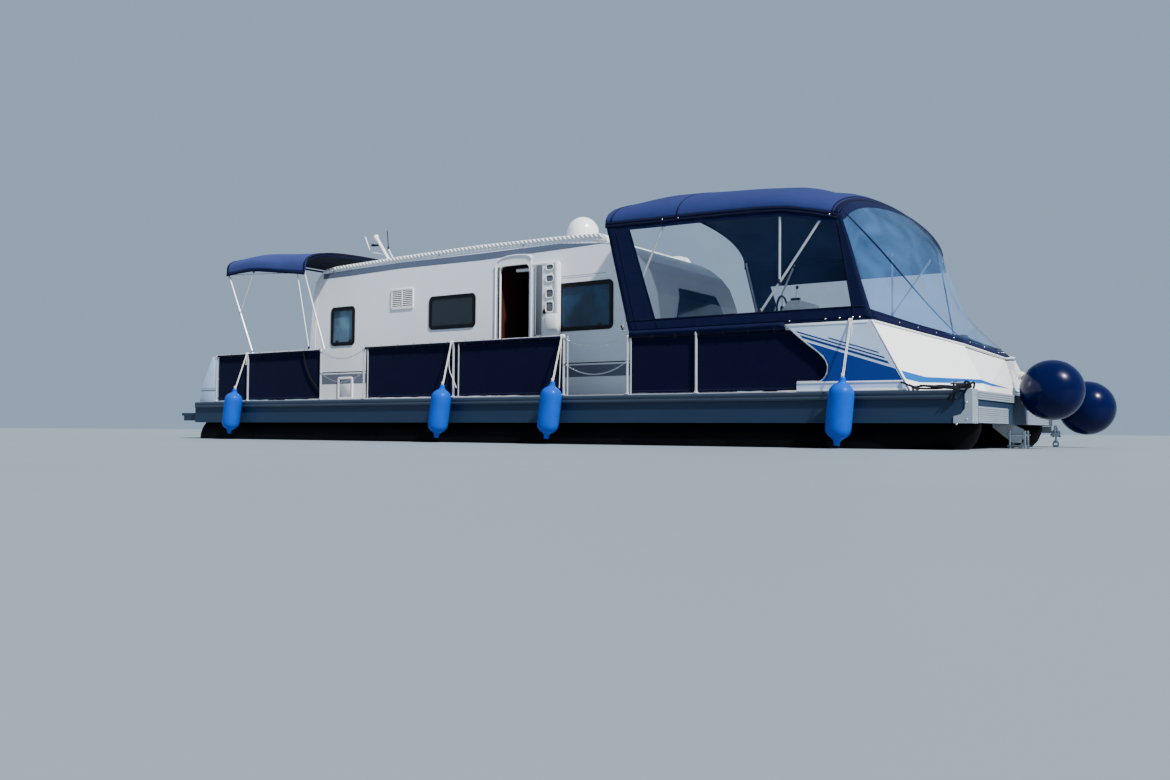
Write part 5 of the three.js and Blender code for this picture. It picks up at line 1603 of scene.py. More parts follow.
def front_at(station, share, proud=0.0):
    """A point on the front sheet: station 0 to 6 from starboard to port, share of the way down."""
    if 1 <= station <= 5:
        _, degrees, low_d, low_y, low_h = smooth_follow(FRONT_STATIONS[1:6], station)
    else:
        _, degrees, low_d, low_y, low_h = follow(FRONT_STATIONS, station)
    angle = radians(degrees)
    high_h = FRONT_HEM + (FRONT_CROWN - FRONT_HEM) * sin(angle)
    high = at(1.39 - 0.1 * sin(angle), -CANOPY_Y * cos(angle), high_h)
    low = at(low_d, low_y, low_h)
    # the film bellies out under the arch and draws in over the prow
    _, swell, slack = follow(FRONT_SLACK, station)
    swell *= sin(angle) * sin(2 * pi * share)
    slack *= sin(pi * share)
    return high.lerp(low, share) + Vector((swell - slack + proud, 0, 0.6 * swell))


def front_place(u, v):
    down = portion(v, FRONT_ROWS, FRONT_TOP_ROWS, FRONT_LOW_ROWS)
    station = 6 * u
    length = (front_at(station, 0) - front_at(station, 1)).length
    lines = (0.0, 0.1 / length, 1 - 0.12 / length, 1.0)
    first = min(2, int(down))
    share = between(lines[first], lines[first + 1], down - first)
    ripple = 0.004 * sin(9 * u * pi + 3 * v) * sin(pi * v)
    return front_at(station, share, ripple)


def front_border(u, v):
    inside = FRONT_TOP_ROWS / FRONT_ROWS < v < 1 - FRONT_LOW_ROWS / FRONT_ROWS
    return 1 if inside else 0

# %% Canopy front
bm = bmesh.new()
faces = sheet(bm, FRONT_COLUMNS_ALL, FRONT_ROWS, front_place, choose=front_border)
lay_uv(bm, faces, Vector((0.3, 1, 0)), Vector((0.4, 0, 1)))
# the canvas border is painted darker, as shade
front = canvas_piece(
    "canopy_front_sheet",
    bm,
    [CANVAS_PAINTED_SHADE, FRONT_FILM],
    0.0012,
    slot="clear_vinyl",
    replaces=["canopy_front"],
)

# %% [markdown]
# A binding runs down each corner, two run along the lower border, and snaps hold the lower edge. They
# are placed by station and share, as the sheet is, and lie a little proud of it.

# %% Seams and snaps of the front
bm = bmesh.new()
for station, toward in ((1.0, 1), (5.0, -1)):
    shares = spread(0, 1, 30)
    near = [front_at(station - toward * between(0.06, 0.015, s), s, 0.003) for s in shares]
    ribbon(bm, near, [front_at(station + toward * 0.03, s, 0.003) for s in shares], 0)
for low, high in ((0.925, 0.935), (0.985, 1.0)):
    stations = spread(0, 6, 90)
    near = [front_at(s, low, 0.003) for s in stations]
    ribbon(bm, near, [front_at(s, high, 0.003) for s in stations], 0)
lay_uv(bm, bm.faces[:], Vector((0.3, 1, 0)), Vector((0.4, 0, 1)))
front_seams = canvas_piece("canopy_front_seams", bm, [BINDING], 0.001, slot="canopy_cloth")
bm = bmesh.new()
for station in (0.3, 0.5, 0.7, 0.9, 1.4, 2.2, 3.0, 3.8, 4.6, 5.1, 5.3, 5.5, 5.7):
    place = front_at(station, 0.96, 0.004)
    sphere = bmesh.ops.create_uvsphere(bm, u_segments=10, v_segments=6, radius=0.009)["verts"]
    bmesh.ops.translate(bm, verts=sphere, vec=place)
front_snaps = piece("canopy_front_snaps", bm, [STAINLESS], slot="steel")

# %% [markdown]
# ## Canopy frame
# Hoops of anodised tube carry the roof, with braces between them. Each tube is a pipe along the
# arch it bends to. A pocket of canvas, painted darker as shade, covers the bent part, and black nylon
# sleeves join the tubes where they cross.

# %% Canopy frame
TUBE = 0.014
POCKET = 0.0015  # how much thicker a pocket is than its tube
FRAME_INSET = 0.008 + TUBE + 0.0008
FRAME_Y = CANOPY_Y - FRAME_INSET
SIDE_RAIL_H = 0.8
SLEEVES = [
    # distance aft, height, lean aft for each unit of height
    (2.33, 0.93, 0.5),
    (3.61, 2.075, 0.4),
    (2.096, 2.065, 0),
    (4.2, 0.84, 0.4),
    (2.1, 1.25, 0),
]
BENDS = [
    # distance aft, lean, hem height, crown height, foot distance, foot height
    (4.4, 0, 2.174, 2.636, 4.06, 0.8),
    (2.095, 0, 2.105, 2.568, 2.1, 1.247),
    (1.56, -0.03, 1.992, 2.408, 2.33, 0.93),
]


def hoop_places(d, lean, hem, crown, foot_d, foot_h):
    places = [at(foot_d, -FRAME_Y, foot_h)]
    for angle in spread(0, pi, 36):
        h = hem + (crown - hem - FRAME_INSET) * sin(angle) - 0.01
        places.append(at(d + lean * sin(angle), -FRAME_Y * cos(angle), h))
    return places + [at(foot_d, FRAME_Y, foot_h)]


bm = bmesh.new()
for bend in BENDS:
    pipe(bm, hoop_places(*bend), TUBE, 16)
    pipe(bm, hoop_places(*bend)[2:-2], TUBE + POCKET, 16, slot_index=2)
for _, sign in SIDES:
    y = sign * FRAME_Y
    pipe(bm, [at(2.33, y, 0.93), at(2.43, y, SIDE_RAIL_H)], TUBE, 16)
    pipe(bm, [at(3.598, y, 2.1), at(4.22, y, SIDE_RAIL_H)], TUBE, 16)
    pipe(bm, [at(4.36, y, 2.13), at(2.095, y, 2.065)], 0.009, 12, slot_index=2)
    pipe(bm, [at(1.13, y, SIDE_RAIL_H), at(4.23, y, SIDE_RAIL_H)], 0.013, 16)
    for d, foot in ((1.25, 0.7626), (1.9, 0.7626), (2.07, 0.7426), (3.16, 0.7426), (4.1, 0.7426)):
        pipe(bm, [at(d, y + sign * 0.004, foot), at(d, y + sign * 0.004, SIDE_RAIL_H)], 0.009, 12)
    for d, h, lean in SLEEVES:
        ends = [at(d - 0.03 * lean, y, h - 0.03), at(d + 0.03 * lean, y, h + 0.03)]
        pipe(bm, ends, TUBE + 0.0045, 16, slot_index=1)
materials = [ALUMINIUM, BLACK_ABS, CANVAS_PAINTED_SHADE]
piece("canopy_frame_tubes", bm, materials, slot="aluminium", replaces=["canopy_frame"])

# %% [markdown]
# ## Helm
# The wheel's rim is a closed pipe with finger bulges, on three spokes and a hub. The console carries
# a dark panel with plain round dials, and a throttle lever at its side.

# %% Helm wheel
WHEEL_PLACE = at(2.935, 0, 1.195)
bm = bmesh.new()
rim_points = []
for angle in turn_angles(48):
    radius = 0.165 + 0.0015 * cos(12 * angle)
    rim_points.append(WHEEL_PLACE + Vector((0, radius * cos(angle), radius * sin(angle))))
pipe(bm, rim_points, 0.0135, 12, closed=True, smooth=True)
for i in range(3):
    angle = pi / 2 + 2 * pi * i / 3
    reach = Vector((0, cos(angle), sin(angle)))
    pipe(bm, [WHEEL_PLACE, WHEEL_PLACE + reach * 0.16], 0.009, 12, slot_index=1)
hub = [(0, -0.015), (0.034, -0.015), (0.036, -0.008), (0.036, 0.006), (0.03, 0.013), (0.012, 0.015)]
turned(bm, hub + [(0, 0.015)], WHEEL_PLACE, ALONG, 24)
materials = [BLACK_ABS, STAINLESS]
piece("helm_wheel_rim", bm, materials, body="helm_wheel", slot="black_plastic", replaces=["helm_wheel"])

# %% Helm panel
bm = bmesh.new()
panel = [at(2.8, -0.24, 1.122), at(2.718, -0.24, 1.228), at(2.718, 0.24, 1.228), at(2.8, 0.24, 1.122)]
lift = Vector((-0.106, 0, 0.082)).normalized() * 0.006
slab(bm, panel, lift, 0, 0.002)
for y in (-0.18, -0.09, 0.09, 0.18):
    centre = at(2.759, y, 1.175)
    turned(bm, [(0, 0), (0.034, 0), (0.034, 0.009), (0.03, 0.012), (0.028, 0.009)], centre, lift, 24, 1)
    turned(bm, [(0.028, 0), (0.028, 0.009), (0, 0.01)], centre, lift, 24, 2)
block(bm, (2.56, -0.32, 1.251), (2.68, -0.26, 1.285), 0, 0.01)
pipe(bm, [at(2.62, -0.29, 1.28), at(2.6, -0.29, 1.4)], 0.008, 12, slot_index=1)
knob = [(0, -0.024), (0.014, -0.02), (0.02, 0), (0.014, 0.02), (0, 0.024)]
turned(bm, knob, at(2.598, -0.29, 1.42), UP, 20)
piece("helm_panel", bm, [BLACK_ABS, STAINLESS, WHITE_ABS], slot="black_plastic")

# %% [markdown]
# ## Railings
# Posts and rails are aluminium tube. A post stands in a flanged foot with bolts, and a clamp joins it
# to the rail. At the stern a raked panel closes each side; it has two thin blue stripes, and a cleat
# stands beside it.

# %% Side railings
RAIL_Y = 1.96
RAIL_TOP, RAIL_TOP_FORE = 0.79, 0.742
POST = 0.016
RAIL_RUNS = [
    # first distance, last distance, top height, posts
    (12.29, 9.7, RAIL_TOP, (12.285, 11.465, 9.705)),
    (8.765, 5.085, RAIL_TOP, (8.76, 6.985, 5.09)),
    (4.125, 1.996, RAIL_TOP_FORE, (4.12, 3.16)),
]
CLEAT_Y = 1.845
HORNS = [(12.385, 0.068), (12.43, 0.07), (12.59, 0.07), (12.635, 0.068)]
STERN_PANEL = [(12.28, 0.764), (12.4, 0.764), (12.7, 0.21), (12.73, 0.004), (12.28, 0.004)]


def post(bm, d, y, top_h):
    """A post with its foot flange, bolts and top clamp."""
    pipe(bm, [at(d, y, 0.004), at(d, y, top_h - POST)], POST, 16)
    foot = [(0, 0), (0.034, 0), (0.034, 0.005), (0.022, 0.008), (0.021, 0.03), (0, 0.03)]
    turned(bm, foot, at(d, y, 0.012), UP, 20)
    clamp = [(0, -0.026), (0.0195, -0.026), (0.021, -0.02), (0.021, 0.008), (0.0185, 0.014), (0, 0.016)]
    turned(bm, clamp, at(d, y, top_h - POST), UP, 20)
    for across, along in ((1, 1), (1, -1), (-1, 1), (-1, -1)):
        bolt_head(bm, at(d + 0.018 * across, y + 0.018 * along, 0.016), UP, 0.004)


for side, sign in SIDES:
    y = sign * RAIL_Y
    bm = bmesh.new()
    block(bm, (2.0, y - sign * 0.02, 0.0003), (12.31, y + sign * 0.018, 0.012), 0, 0.002)
    for first, last, top_h, posts in RAIL_RUNS:
        pipe(bm, [at(first, y, top_h - POST), at(last, y, top_h - POST)], POST, 16)
        for d in posts:
            post(bm, d, y, top_h)
    for d, top_h in ((6.89, RAIL_TOP), (5.03, RAIL_TOP), (8.68, RAIL_TOP), (4.07, RAIL_TOP_FORE)):
        pipe(bm, [at(d, y, 0.012), at(d, y, top_h - POST)], 0.009, 12)
    slab(bm, [at(d, y - sign * 0.006, h) for d, h in STERN_PANEL], ACROSS * sign * 0.014, 1, 0.003)
    for low, high in ((0.185, 0.208), (0.228, 0.236)):
        stripe = level(12.29, 12.695, low, high)
        slab(bm, [at(d, y + sign * 0.0079, h) for d, h in stripe], ACROSS * sign * 0.001, 2)
    block(bm, (12.4, sign * 1.8, 0.0004), (12.62, y, 0.01), 0, 0.002)
    for d in (12.46, 12.56):
        pipe(bm, [at(d, sign * CLEAT_Y, 0.01), at(d, sign * CLEAT_Y, 0.07)], 0.013, 16)
    pipe(bm, [at(d, sign * CLEAT_Y, h) for d, h in HORNS], 0.013, 16, smooth=True)
    materials = [ALUMINIUM, PALE_PAINT, BAND_BLUE]
    piece(f"railing_tubes_{side}", bm, materials, slot="aluminium", replaces=[f"railing_{side}"])

# %% Stern railing
bm = bmesh.new()
STERN_D = 12.7
block(bm, (STERN_D - 0.02, -1.7, 0.0003), (STERN_D + 0.02, 1.7, 0.012), 0, 0.002)
for _, sign in SIDES:
    for y in (1.66, 1.05, 0.42):
        post(bm, STERN_D, sign * y, RAIL_TOP)
    for h in (RAIL_TOP - POST, RAIL_TOP / 2):
        pipe(bm, [at(STERN_D, sign * 0.42, h), at(STERN_D, sign * 1.66, h)], POST, 16)
piece("railing_stern_tubes", bm, [ALUMINIUM], slot="aluminium", replaces=["railing_stern"])

# %% [markdown]
# ## Screens
# Navy screens are laced into the railings. Each is a sheet with a hem all round, a little slack
# between its fixings, so its edges curve in between the eyelets. Dark cord laces it to the rail, and
# the upper hem laps under the rail and up its outer side.

# %% Sheet of a screen
SCREENS = [
    # name, first distance, last distance, top height, rail height
    ("aft", 9.71, 12.26, 0.754, RAIL_TOP),
    ("mid", 5.11, 8.74, 0.754, RAIL_TOP),
    ("fore", 1.5, 4.1, 0.706, RAIL_TOP_FORE),
]
SCREEN_LOW = 0.02
SCREEN_Y = 1.9405
EYELET_EVERY = 0.34


def screen_place(sign, d0, d1, high):
    eyelets = max(2, round((d1 - d0) / EYELET_EVERY))

    def place(u, v):
        slack = abs(sin(pi * eyelets * u))
        edge = 0.006 * slack * (abs(2 * v - 1) ** 3)
        h = between(SCREEN_LOW, high, v)
        h += -edge if v > 0.5 else edge
        belly = 0.004 * sin(2.3 * pi * u + 1.0) * sin(pi * v)
        pull = 0.0015 * sin(2 * pi * eyelets * u) * (1 - sin(pi * v))
        return at(between(d0 + 0.004, d1 - 0.004, u), sign * (SCREEN_Y + belly + pull), h)

    return place

# %% [markdown]
# The hem is bound with tape, which ribbons laid on the sheet show. The cord is one loop at each eyelet,
# round the rail and through the cloth.

# %% Hem and lacing of a screen
def screen_hem(side, sign, row):
    name, d0, d1, high, rail_h = row
    place = screen_place(sign, d0, d1, high)
    bm = bmesh.new()
    out = ACROSS * sign * 0.0012
    shares = spread(0, 1, 80)
    for v0, v1 in ((0.0, 0.05), (0.95, 1.0)):
        ribbon(bm, [place(u, v0) + out for u in shares], [place(u, v1) + out for u in shares], 0)
    shares = spread(0, 1, 16)
    for u0, u1 in ((0.0, 0.012), (0.988, 1.0)):
        ribbon(bm, [place(u0, v) + out for v in shares], [place(u1, v) + out for v in shares], 0)
    lap = [
        (SCREEN_Y + 0.001, high - 0.006),
        (RAIL_Y + 0.008, rail_h - 0.036),
        (RAIL_Y + 0.0175, rail_h - 0.024),
        (RAIL_Y + 0.0172, rail_h - 0.011),
    ]
    ends = (max(d0 + 0.004, 2.02), d1 - 0.004)
    for (y0, h0), (y1, h1) in zip(lap, lap[1:]):
        near = [at(d, sign * y0, h0) for d in ends]
        ribbon(bm, near, [at(d, sign * y1, h1) for d in ends], 0)
    lay_uv(bm, bm.faces[:], ALONG, UP)
    return canvas_piece(f"screen_hem_{name}_{side}", bm, [BINDING], 0.001, slot="navy_cloth")


def screen_lacing(side, sign, row):
    name, d0, d1, _, rail_h = row
    eyelets = max(2, round((d1 - d0) / EYELET_EVERY))
    bm = bmesh.new()
    for i in range(eyelets + 1):
        d = between(d0 + 0.02, d1 - 0.02, i / eyelets)
        if name == "fore" and d < 1.99:
            # ahead of the rail the screen is laced to a cleat on the bulwark
            continue
        loop = []
        for angle in turn_angles(12):
            reach = sign * (RAIL_Y - 0.002 + 0.021 * cos(angle))
            lift = (0.0335 if sin(angle) > 0 else 0.031) * sin(angle)
            loop.append(at(d + 0.006 * sin(angle), reach, rail_h - 0.0295 + lift))
        pipe(bm, loop, 0.0028, 8, closed=True, smooth=True)
    return piece(f"screen_lacing_{name}_{side}", bm, [ROPE_DARK], slot="navy_cloth")

# %% Cloth screens
for side, sign in SIDES:
    for row in SCREENS:
        name, d0, d1, high, _ = row
        place = screen_place(sign, d0, d1, high)
        bm = bmesh.new()
        faces = sheet(bm, 80, 16, place)
        lay_uv(bm, faces, ALONG, UP)
        screen = canvas_piece(
            f"screen_{name}_{side}",
            bm,
            [SCREEN_CLOTH],
            0.001,
            slot="navy_cloth",
            replaces=[f"cloth_{name}_{side}"],
        )
        hem = screen_hem(side, sign, row)
        lacing = screen_lacing(side, sign, row)

# %% [markdown]
# ## Gate chains
# Two short chains close each gate. A chain that hangs between two points sags in a curve that is close
# to a parabola, so its links are set along one.

# %% Gate chains
GATE_CHAIN = {"length": 0.03, "width": 0.016, "wire": 0.0023}
CHAIN_HEIGHTS = ((0.74, 0.115), (0.41, 0.14))  # height of the ends, sag
bm = bmesh.new()
count = 0
for _, sign in SIDES:
    for d0, d1 in ((8.785, 9.685), (4.14, 5.07)):
        for top_h, drop in CHAIN_HEIGHTS:
            points = []
            for share in spread(0, 1, 16):
                h = top_h - 4 * drop * share * (1 - share)
                points.append(at(between(d0, d1, share), sign * RAIL_Y, h))
            count += chain(bm, points, **GATE_CHAIN)
    for d in (8.775, 9.695, 4.13, 5.08):
        for h, _ in CHAIN_HEIGHTS:
            low = (d - 0.014, sign * (RAIL_Y - 0.018), h - 0.012)
            block(bm, low, (d + 0.014, sign * (RAIL_Y + 0.018), h + 0.012), 0, 0.004)
piece("gate_chains", bm, [STAINLESS], slot="steel")
print("gate chain links", count)

# %% [markdown]
# ## Stern sun top
# The sun top is one sheet over two hoops. It sags a little between them and folds in long waves that
# run fore and aft near the hems. Its underside is a darker cloth, painted shade. Pockets of canvas,
# painted darker as shade, hold it on the hoops, and straps hold the frame down.

# %% Sun top
SUN_Y = 1.9
SUN_AFT, SUN_FORE = 12.16, 10.18
SUN_ARCHES = [
    # distance aft, hem height, crown height
    (10.18, 2.037, 2.45),
    (10.8, 2.115, 2.5),
    (11.5, 2.19, 2.545),
    (12.16, 2.165, 2.5),
]


def sun_place(d, angle, proud=0.0):
    _, hem, crown = smooth_follow(SUN_ARCHES, d)
    h = hem + (crown - hem + proud) * squarish(sin(angle))
    return at(d, -(SUN_Y + proud) * squarish(cos(angle)), h)


def sun_angle(share):
    """The angle at a share of the way over. Its steps are closer near the hems, where the arch bends."""
    return pi * (share - 0.06 * sin(4 * pi * share))


def sun_sheet_place(u, v):
    d = between(SUN_AFT, SUN_FORE, v)
    angle = sun_angle(u)
    middle = sin(pi * v)
    sag = 0.022 * middle * abs(sin(angle)) ** 0.7
    fold = 0.006 * sin(9 * angle + 3.0 * v) * middle
    return sun_place(d, angle, fold - sag)


bm = bmesh.new()
faces = sheet(bm, 96, 60, sun_sheet_place)
lay_uv(bm, faces, ALONG, Vector((0, 1, 0.4)))
sun_cloth = canvas_piece(
    "sun_top_cloth",
    bm,
    # the darker inner face is painted shade under the sun top
    [SUN_CANVAS, SCREEN_CLOTH],
    0.002,
    painted_shade_lining=1,
    slot="canopy_cloth",
    replaces=["sun_top"],
)
bm = bmesh.new()
angles = [sun_angle(share) for share in spread(0, 1, 96)]
for d, inner in ((12.155, 12.105), (10.185, 10.235)):
    ribbon(bm, [sun_place(d, a, 0.003) for a in angles], [sun_place(inner, a, 0.002) for a in angles], 0)
for _, sign in SIDES:
    upper, lower = [], []
    for share in spread(0, 1, 40):
        d = between(SUN_AFT, SUN_FORE, share)
        hem = smooth_follow(SUN_ARCHES, d)[1]
        scallop = 0.004 * abs(sin(4 * pi * share))
        upper.append(at(d, sign * (SUN_Y + 0.002), hem + 0.015))
        lower.append(at(d, sign * (SUN_Y + 0.003), hem - 0.05 + scallop))
    ribbon(bm, upper, lower, 0)
lay_uv(bm, bm.faces[:], ALONG, Vector((0, 1, 1)))
sun_hems = canvas_piece("sun_top_hems", bm, [CANVAS_PAINTED_SHADE], 0.0015, slot="canopy_cloth")

# %% Sun top frame
SUN_TUBE = 0.015
SUN_INSET = 0.008 + SUN_TUBE + 0.001
SUN_FRAME_Y = SUN_Y - SUN_INSET
SUN_FOOT_H = 0.795


def sun_hoop(d, foot_d):
    _, hem, crown = follow(SUN_ARCHES, d)
    places = [at(foot_d, -SUN_FRAME_Y, SUN_FOOT_H)]
    for share in spread(0, 1, 40):
        angle = sun_angle(share)
        h = hem - 0.02 + (crown - hem - SUN_INSET) * squarish(sin(angle))
        places.append(at(d, -SUN_FRAME_Y * squarish(cos(angle)), h))
    return places + [at(foot_d, SUN_FRAME_Y, SUN_FOOT_H)]


bm = bmesh.new()
for d, foot_d in ((12.13, 11.46), (10.22, 9.73)):
    pipe(bm, sun_hoop(d, foot_d), SUN_TUBE, 12)
    pipe(bm, sun_hoop(d, foot_d)[2:-2], SUN_TUBE + POCKET, 12, slot_index=3)
for _, sign in SIDES:
    y = sign * SUN_FRAME_Y
    pipe(bm, [at(11.474, y, 2.15), at(11.8, y, 1.48)], 0.011, 12)
    pipe(bm, [at(10.4, y, 2.05), at(10.082, y, SUN_FOOT_H)], 0.011, 12)
    pipe(bm, [at(12.12, y, 2.14), at(10.225, y, 2.03)], 0.01, 12)
    pipe(bm, [at(9.7, y, SUN_FOOT_H), at(11.49, y, SUN_FOOT_H)], 0.013, 12)
    for d in (9.72, 11.465):
        pipe(bm, [at(d, y, SUN_FOOT_H), at(d, sign * 1.9438, 0.776)], 0.009, 12)
    for d, h in ((11.474, 2.15), (11.8, 1.48), (10.4, 2.05), (10.09, 0.83), (11.47, 0.82)):
        pipe(bm, [at(d, y, h - 0.022), at(d, y, h + 0.022)], 0.0155, 12, slot_index=1)
    strap = [at(10.11, sign * 1.972, 0.76), at(9.98, sign * 1.966, 0.42), at(9.74, sign * 1.968, 0.16)]
    pipe(bm, strap, 0.008, 8, smooth=True, slot_index=2)
materials = [ALUMINIUM, BLACK_ABS, RUBBER, CANVAS_PAINTED_SHADE]
piece("sun_top_tubes", bm, materials, slot="aluminium", replaces=["sun_top_frame"])

# %% [markdown]
# ## Fenders
# A fender is a blown PVC body with a cone and an eye at both ends. Its form is turned from a rounded
# profile. The rope is doubled through the upper eye, and it is tied off with a few turns on the rail.

# %% Places and form of the fenders
FENDER_Y = 2.163
FENDER_ROPE = 0.0055  # the rope's radius
FENDERS = [
    # distance aft, centre over the floor, rope top distance, side, height, degrees the top leans ahead
    (11.585, 0.457, 11.48, 1.984, 0.765, 10.0),
    (7.05, 0.43, 7.01, 1.984, 0.765, 8.5),
    (5.165, 0.435, 5.11, 1.984, 0.765, 7.5),
    (1.32, 0.398, 1.26, 1.993, 0.765, 5.5),
]
# radius, height
HALF_PROFILE = [(0.1395, 0.0), (0.139, 0.12), (0.138, 0.18), (0.136, 0.2), (0.131, 0.222)]
HALF_PROFILE += [(0.122, 0.243), (0.106, 0.263), (0.085, 0.281), (0.06, 0.296), (0.046, 0.308)]
HALF_PROFILE += [(0.04, 0.318), (0.04, 0.326), (0.034, 0.332), (0.033, 0.36), (0.028, 0.367), (0.0, 0.368)]
TAILS = [
    # the loose end of each rope: steps aft, out and up from its upper end
    [(0, 0, 0), (-0.02, 0.012, -0.06), (-0.012, 0.016, -0.17)],
    [(0.015, 0.002, -0.02), (0.02, 0.006, -0.37), (-0.05, 0.012, -0.5), (-0.115, 0.01, -0.628)],
    [(0, 0.002, -0.02), (0.008, 0.012, -0.3), (0.019, 0.018, -0.66)],
    [(0, 0, 0), (-0.02, 0.012, -0.06), (-0.012, 0.016, -0.17)],
]

# %% [markdown]
# A laid rope has three strands. Each is a thin pipe that winds round the rope's own line, a third of a
# turn from the next. The knot on the eye is a coil of two turns, and those on the rail are plain loops.

# %% Ropes and knots
def twisted_rope(bm, points, radius, slot_index):
    """A laid rope: three strands that wind round a line of points."""
    lay = radius * 7
    for strand in range(3):
        places = []
        gone = 0.0
        for a, b in zip(points, points[1:]):
            direction = (b - a).normalized()
            side_way = direction.orthogonal().normalized()
            other_way = direction.cross(side_way)
            steps = max(2, int((b - a).length / (lay / 7)))
            for i in range(steps):
                along = (b - a).length * i / steps
                angle = 2 * pi * ((gone + along) / lay + strand / 3)
                offset = side_way * cos(angle) + other_way * sin(angle)
                places.append(a + direction * along + offset * radius * 0.46)
            gone += (b - a).length
        pipe(bm, places, radius * 0.56, 6, slot_index=slot_index)


def eye_knot(bm, eye):
    knot = []
    for k in range(22):
        angle = 2 * pi * k / 11
        round_eye = Vector((0.014 * cos(angle), 0.014 * sin(angle), 0.012 + 0.0022 * k))
        knot.append(eye + round_eye)
    pipe(bm, knot, FENDER_ROPE, 8, smooth=True, slot_index=1)


def rail_turns(bm, rope_d, sign, rail_centre, rail_h):
    for turn_number in range(4):
        loop = []
        for angle in turn_angles(12):
            along = rope_d + 0.012 * (turn_number - 1.5) + 0.003 * sin(angle)
            reach = sign * (rail_centre + 0.0215 * cos(angle))
            loop.append(at(along, reach, rail_h + 0.0215 * sin(angle)))
        pipe(bm, loop, FENDER_ROPE, 8, closed=True, smooth=True, slot_index=1)

# %% Fenders
for side, sign in SIDES:
    for number, (d, over_floor, rope_d, rope_y, rope_h, lean) in enumerate(FENDERS, 1):
        centre = at(d, sign * FENDER_Y, over_floor + WATERLINE - DECK)
        axis = Vector((sin(radians(lean)), 0, cos(radians(lean))))
        bm = bmesh.new()
        profile = [(r, -z) for r, z in HALF_PROFILE[::-1]] + HALF_PROFILE[1:]
        turned(bm, profile, centre, axis, 40)
        eye = centre + axis * 0.35
        rope_end = at(rope_d, sign * rope_y, rope_h)
        apart = ALONG * 0.009
        for way in (-1, 1):
            twisted_rope(bm, [eye + apart * way, rope_end + apart * way * 0.6], FENDER_ROPE, 1)
        eye_knot(bm, eye)
        # the foremost fender hangs from the bulwark's upper tube
        rail_centre, rail_h = (RAIL_Y, 0.774) if number < len(FENDERS) else (1.973, 0.765)
        rail_turns(bm, rope_d, sign, rail_centre, rail_h)
        tail = [rope_end + Vector((-a, sign * b, c)) for a, b, c in TAILS[number - 1]]
        pipe(bm, tail, 0.005, 8, smooth=True, slot_index=1)
        piece(
            f"fender_body_{side}_{number}",
            bm,
            [FENDER_PVC, ROPE_WHITE],
            slot="fender_blue",
            replaces=[f"fender_{side}_{number}"],
            sharp=40,
        )

# %% [markdown]
# ## Bow balls
# Two round fenders hang ahead of the prow. A ball is a turned form too, slightly drawn out towards a
# stout neck with an eye, with a faint seam where the mould's halves met.

# %% Bow balls
BALLS = [
    # name, distance aft, side, height, rope top distance, side, height
    ("centre", -0.38, 0.0, 0.058, 0.084, 0.0, 0.3),
    ("port", -0.437, 1.93, -0.106, -0.005, 1.9259, 0.07),
]
BALL_RADIUS = 0.346
for name, d, y, h, rope_d, rope_y, rope_h in BALLS:
    profile = [(0, -BALL_RADIUS)]
    for i in range(1, 31):
        angle = -pi / 2 + pi * i / 32
        radius = BALL_RADIUS * cos(angle)
        seam_lip = 0.0022 if i == 16 else 0.0
        profile.append((radius + seam_lip, BALL_RADIUS * sin(angle)))
    profile += [(0.06, 0.342), (0.044, 0.35), (0.038, 0.362), (0.036, 0.38), (0.032, 0.392), (0, 0.395)]
    centre, rope_end = at(d, y, h), at(rope_d, rope_y, rope_h)
    axis = (rope_end - centre).normalized()
    bm = bmesh.new()
    turned(bm, profile, centre, axis, 56)
    neck = centre + axis * 0.375
    twisted_rope(bm, [neck, rope_end], 0.0075, 1)
    for turn_number in range(3):
        loop = []
        for angle in turn_angles(12):
            reach = Quaternion(axis, angle) @ axis.orthogonal().normalized() * 0.041
            loop.append(neck + reach + axis * (0.014 * turn_number - 0.018))
        pipe(bm, loop, 0.0072, 8, closed=True, smooth=True, slot_index=1)
    replaced = [f"bow_ball_{name}"]
    piece(f"bow_ball_body_{name}", bm, [BALL_PVC, ROPE_WHITE], slot="ball_navy", replaces=replaced, sharp=50)

# %% [markdown]
# ## Boarding ladder and motor
# The ladder is bent from stainless tube, with rungs under ribbed treads. The outboard's cowl is a skin
# bridged over smooth rings, with two bands round it, and the leg keeps the construction model's form.

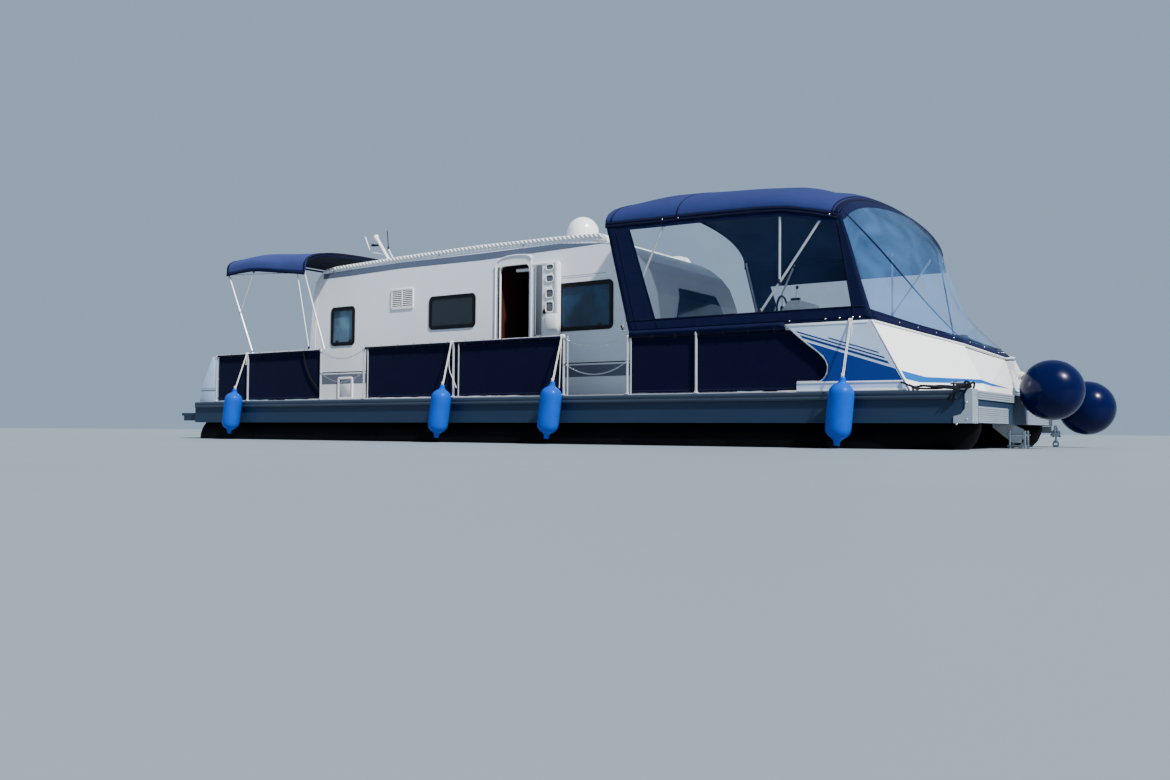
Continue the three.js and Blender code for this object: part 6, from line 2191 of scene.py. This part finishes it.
# %% Boarding ladder
LADDER_D, LADDER_Y, LADDER_H, LADDER_LONG, LADDER_HALF = 13.302, 1.18, -0.2, 0.74, 0.17
TOP_RUNG = 0.985


def rung(bm, h, half, radius):
    pipe(bm, [at(LADDER_D, LADDER_Y - half, h), at(LADDER_D, LADDER_Y + half, h)], radius, 16)


bm = bmesh.new()
rung(bm, LADDER_H, LADDER_HALF + 0.005, 0.009)
for way in (-1, 1):
    y = LADDER_Y + way * LADDER_HALF
    pipe(bm, [at(LADDER_D, y, LADDER_H), at(LADDER_D, y, LADDER_H + LADDER_LONG)], 0.013, 16)
for share in (0.22, 0.48, 0.74, TOP_RUNG):
    h = LADDER_H + LADDER_LONG * share
    rung(bm, h, LADDER_HALF, 0.0115)
    if share < TOP_RUNG:
        for k in range(9):
            y = LADDER_Y - 0.12 + 0.03 * k
            low = (LADDER_D - 0.0125, y - 0.011, h - 0.012)
            block(bm, low, (LADDER_D + 0.0125, y + 0.011, h + 0.012), 1, 0.003)
replaced = ["boarding_ladder"]
piece("boarding_ladder_tubes", bm, [STAINLESS, RUBBER], body="ladder", slot="steel", replaces=replaced)

# %% Outboard cowl
COWL = [
    # height, front distance, aft distance, half width
    (-0.038, 13.008, 13.327, 0.093),
    (0.05, 12.991, 13.367, 0.125),
    (0.15, 12.986, 13.379, 0.131),
    (0.235, 13.001, 13.361, 0.117),
    (0.262, 13.02, 13.335, 0.1),
    (0.281, 13.047, 13.298, 0.079),
]


def cowl_place(row, x, y, proud=0.0):
    h, d0, d1, half = row
    return at((d0 + d1) / 2 + ((d1 - d0) / 2 + proud) * x, (half + proud) * y, h)


bm = bmesh.new()
loft(bm, 32, COWL, cowl_place)
for h, rise in ((0.0, 0.012), (0.2, 0.005)):
    row = smooth_follow(COWL, h)
    belt = [cowl_place(row, cos(angle), sin(angle), 0.001) for angle in turn_angles(40)]
    pipe(bm, belt, rise / 2, 8, closed=True, slot_index=1)
piece("outboard_cowl_trim", bm, [MOTOR_PAINT, WHITE_ABS], body="motor", slot="motor_grey", sharp=40)
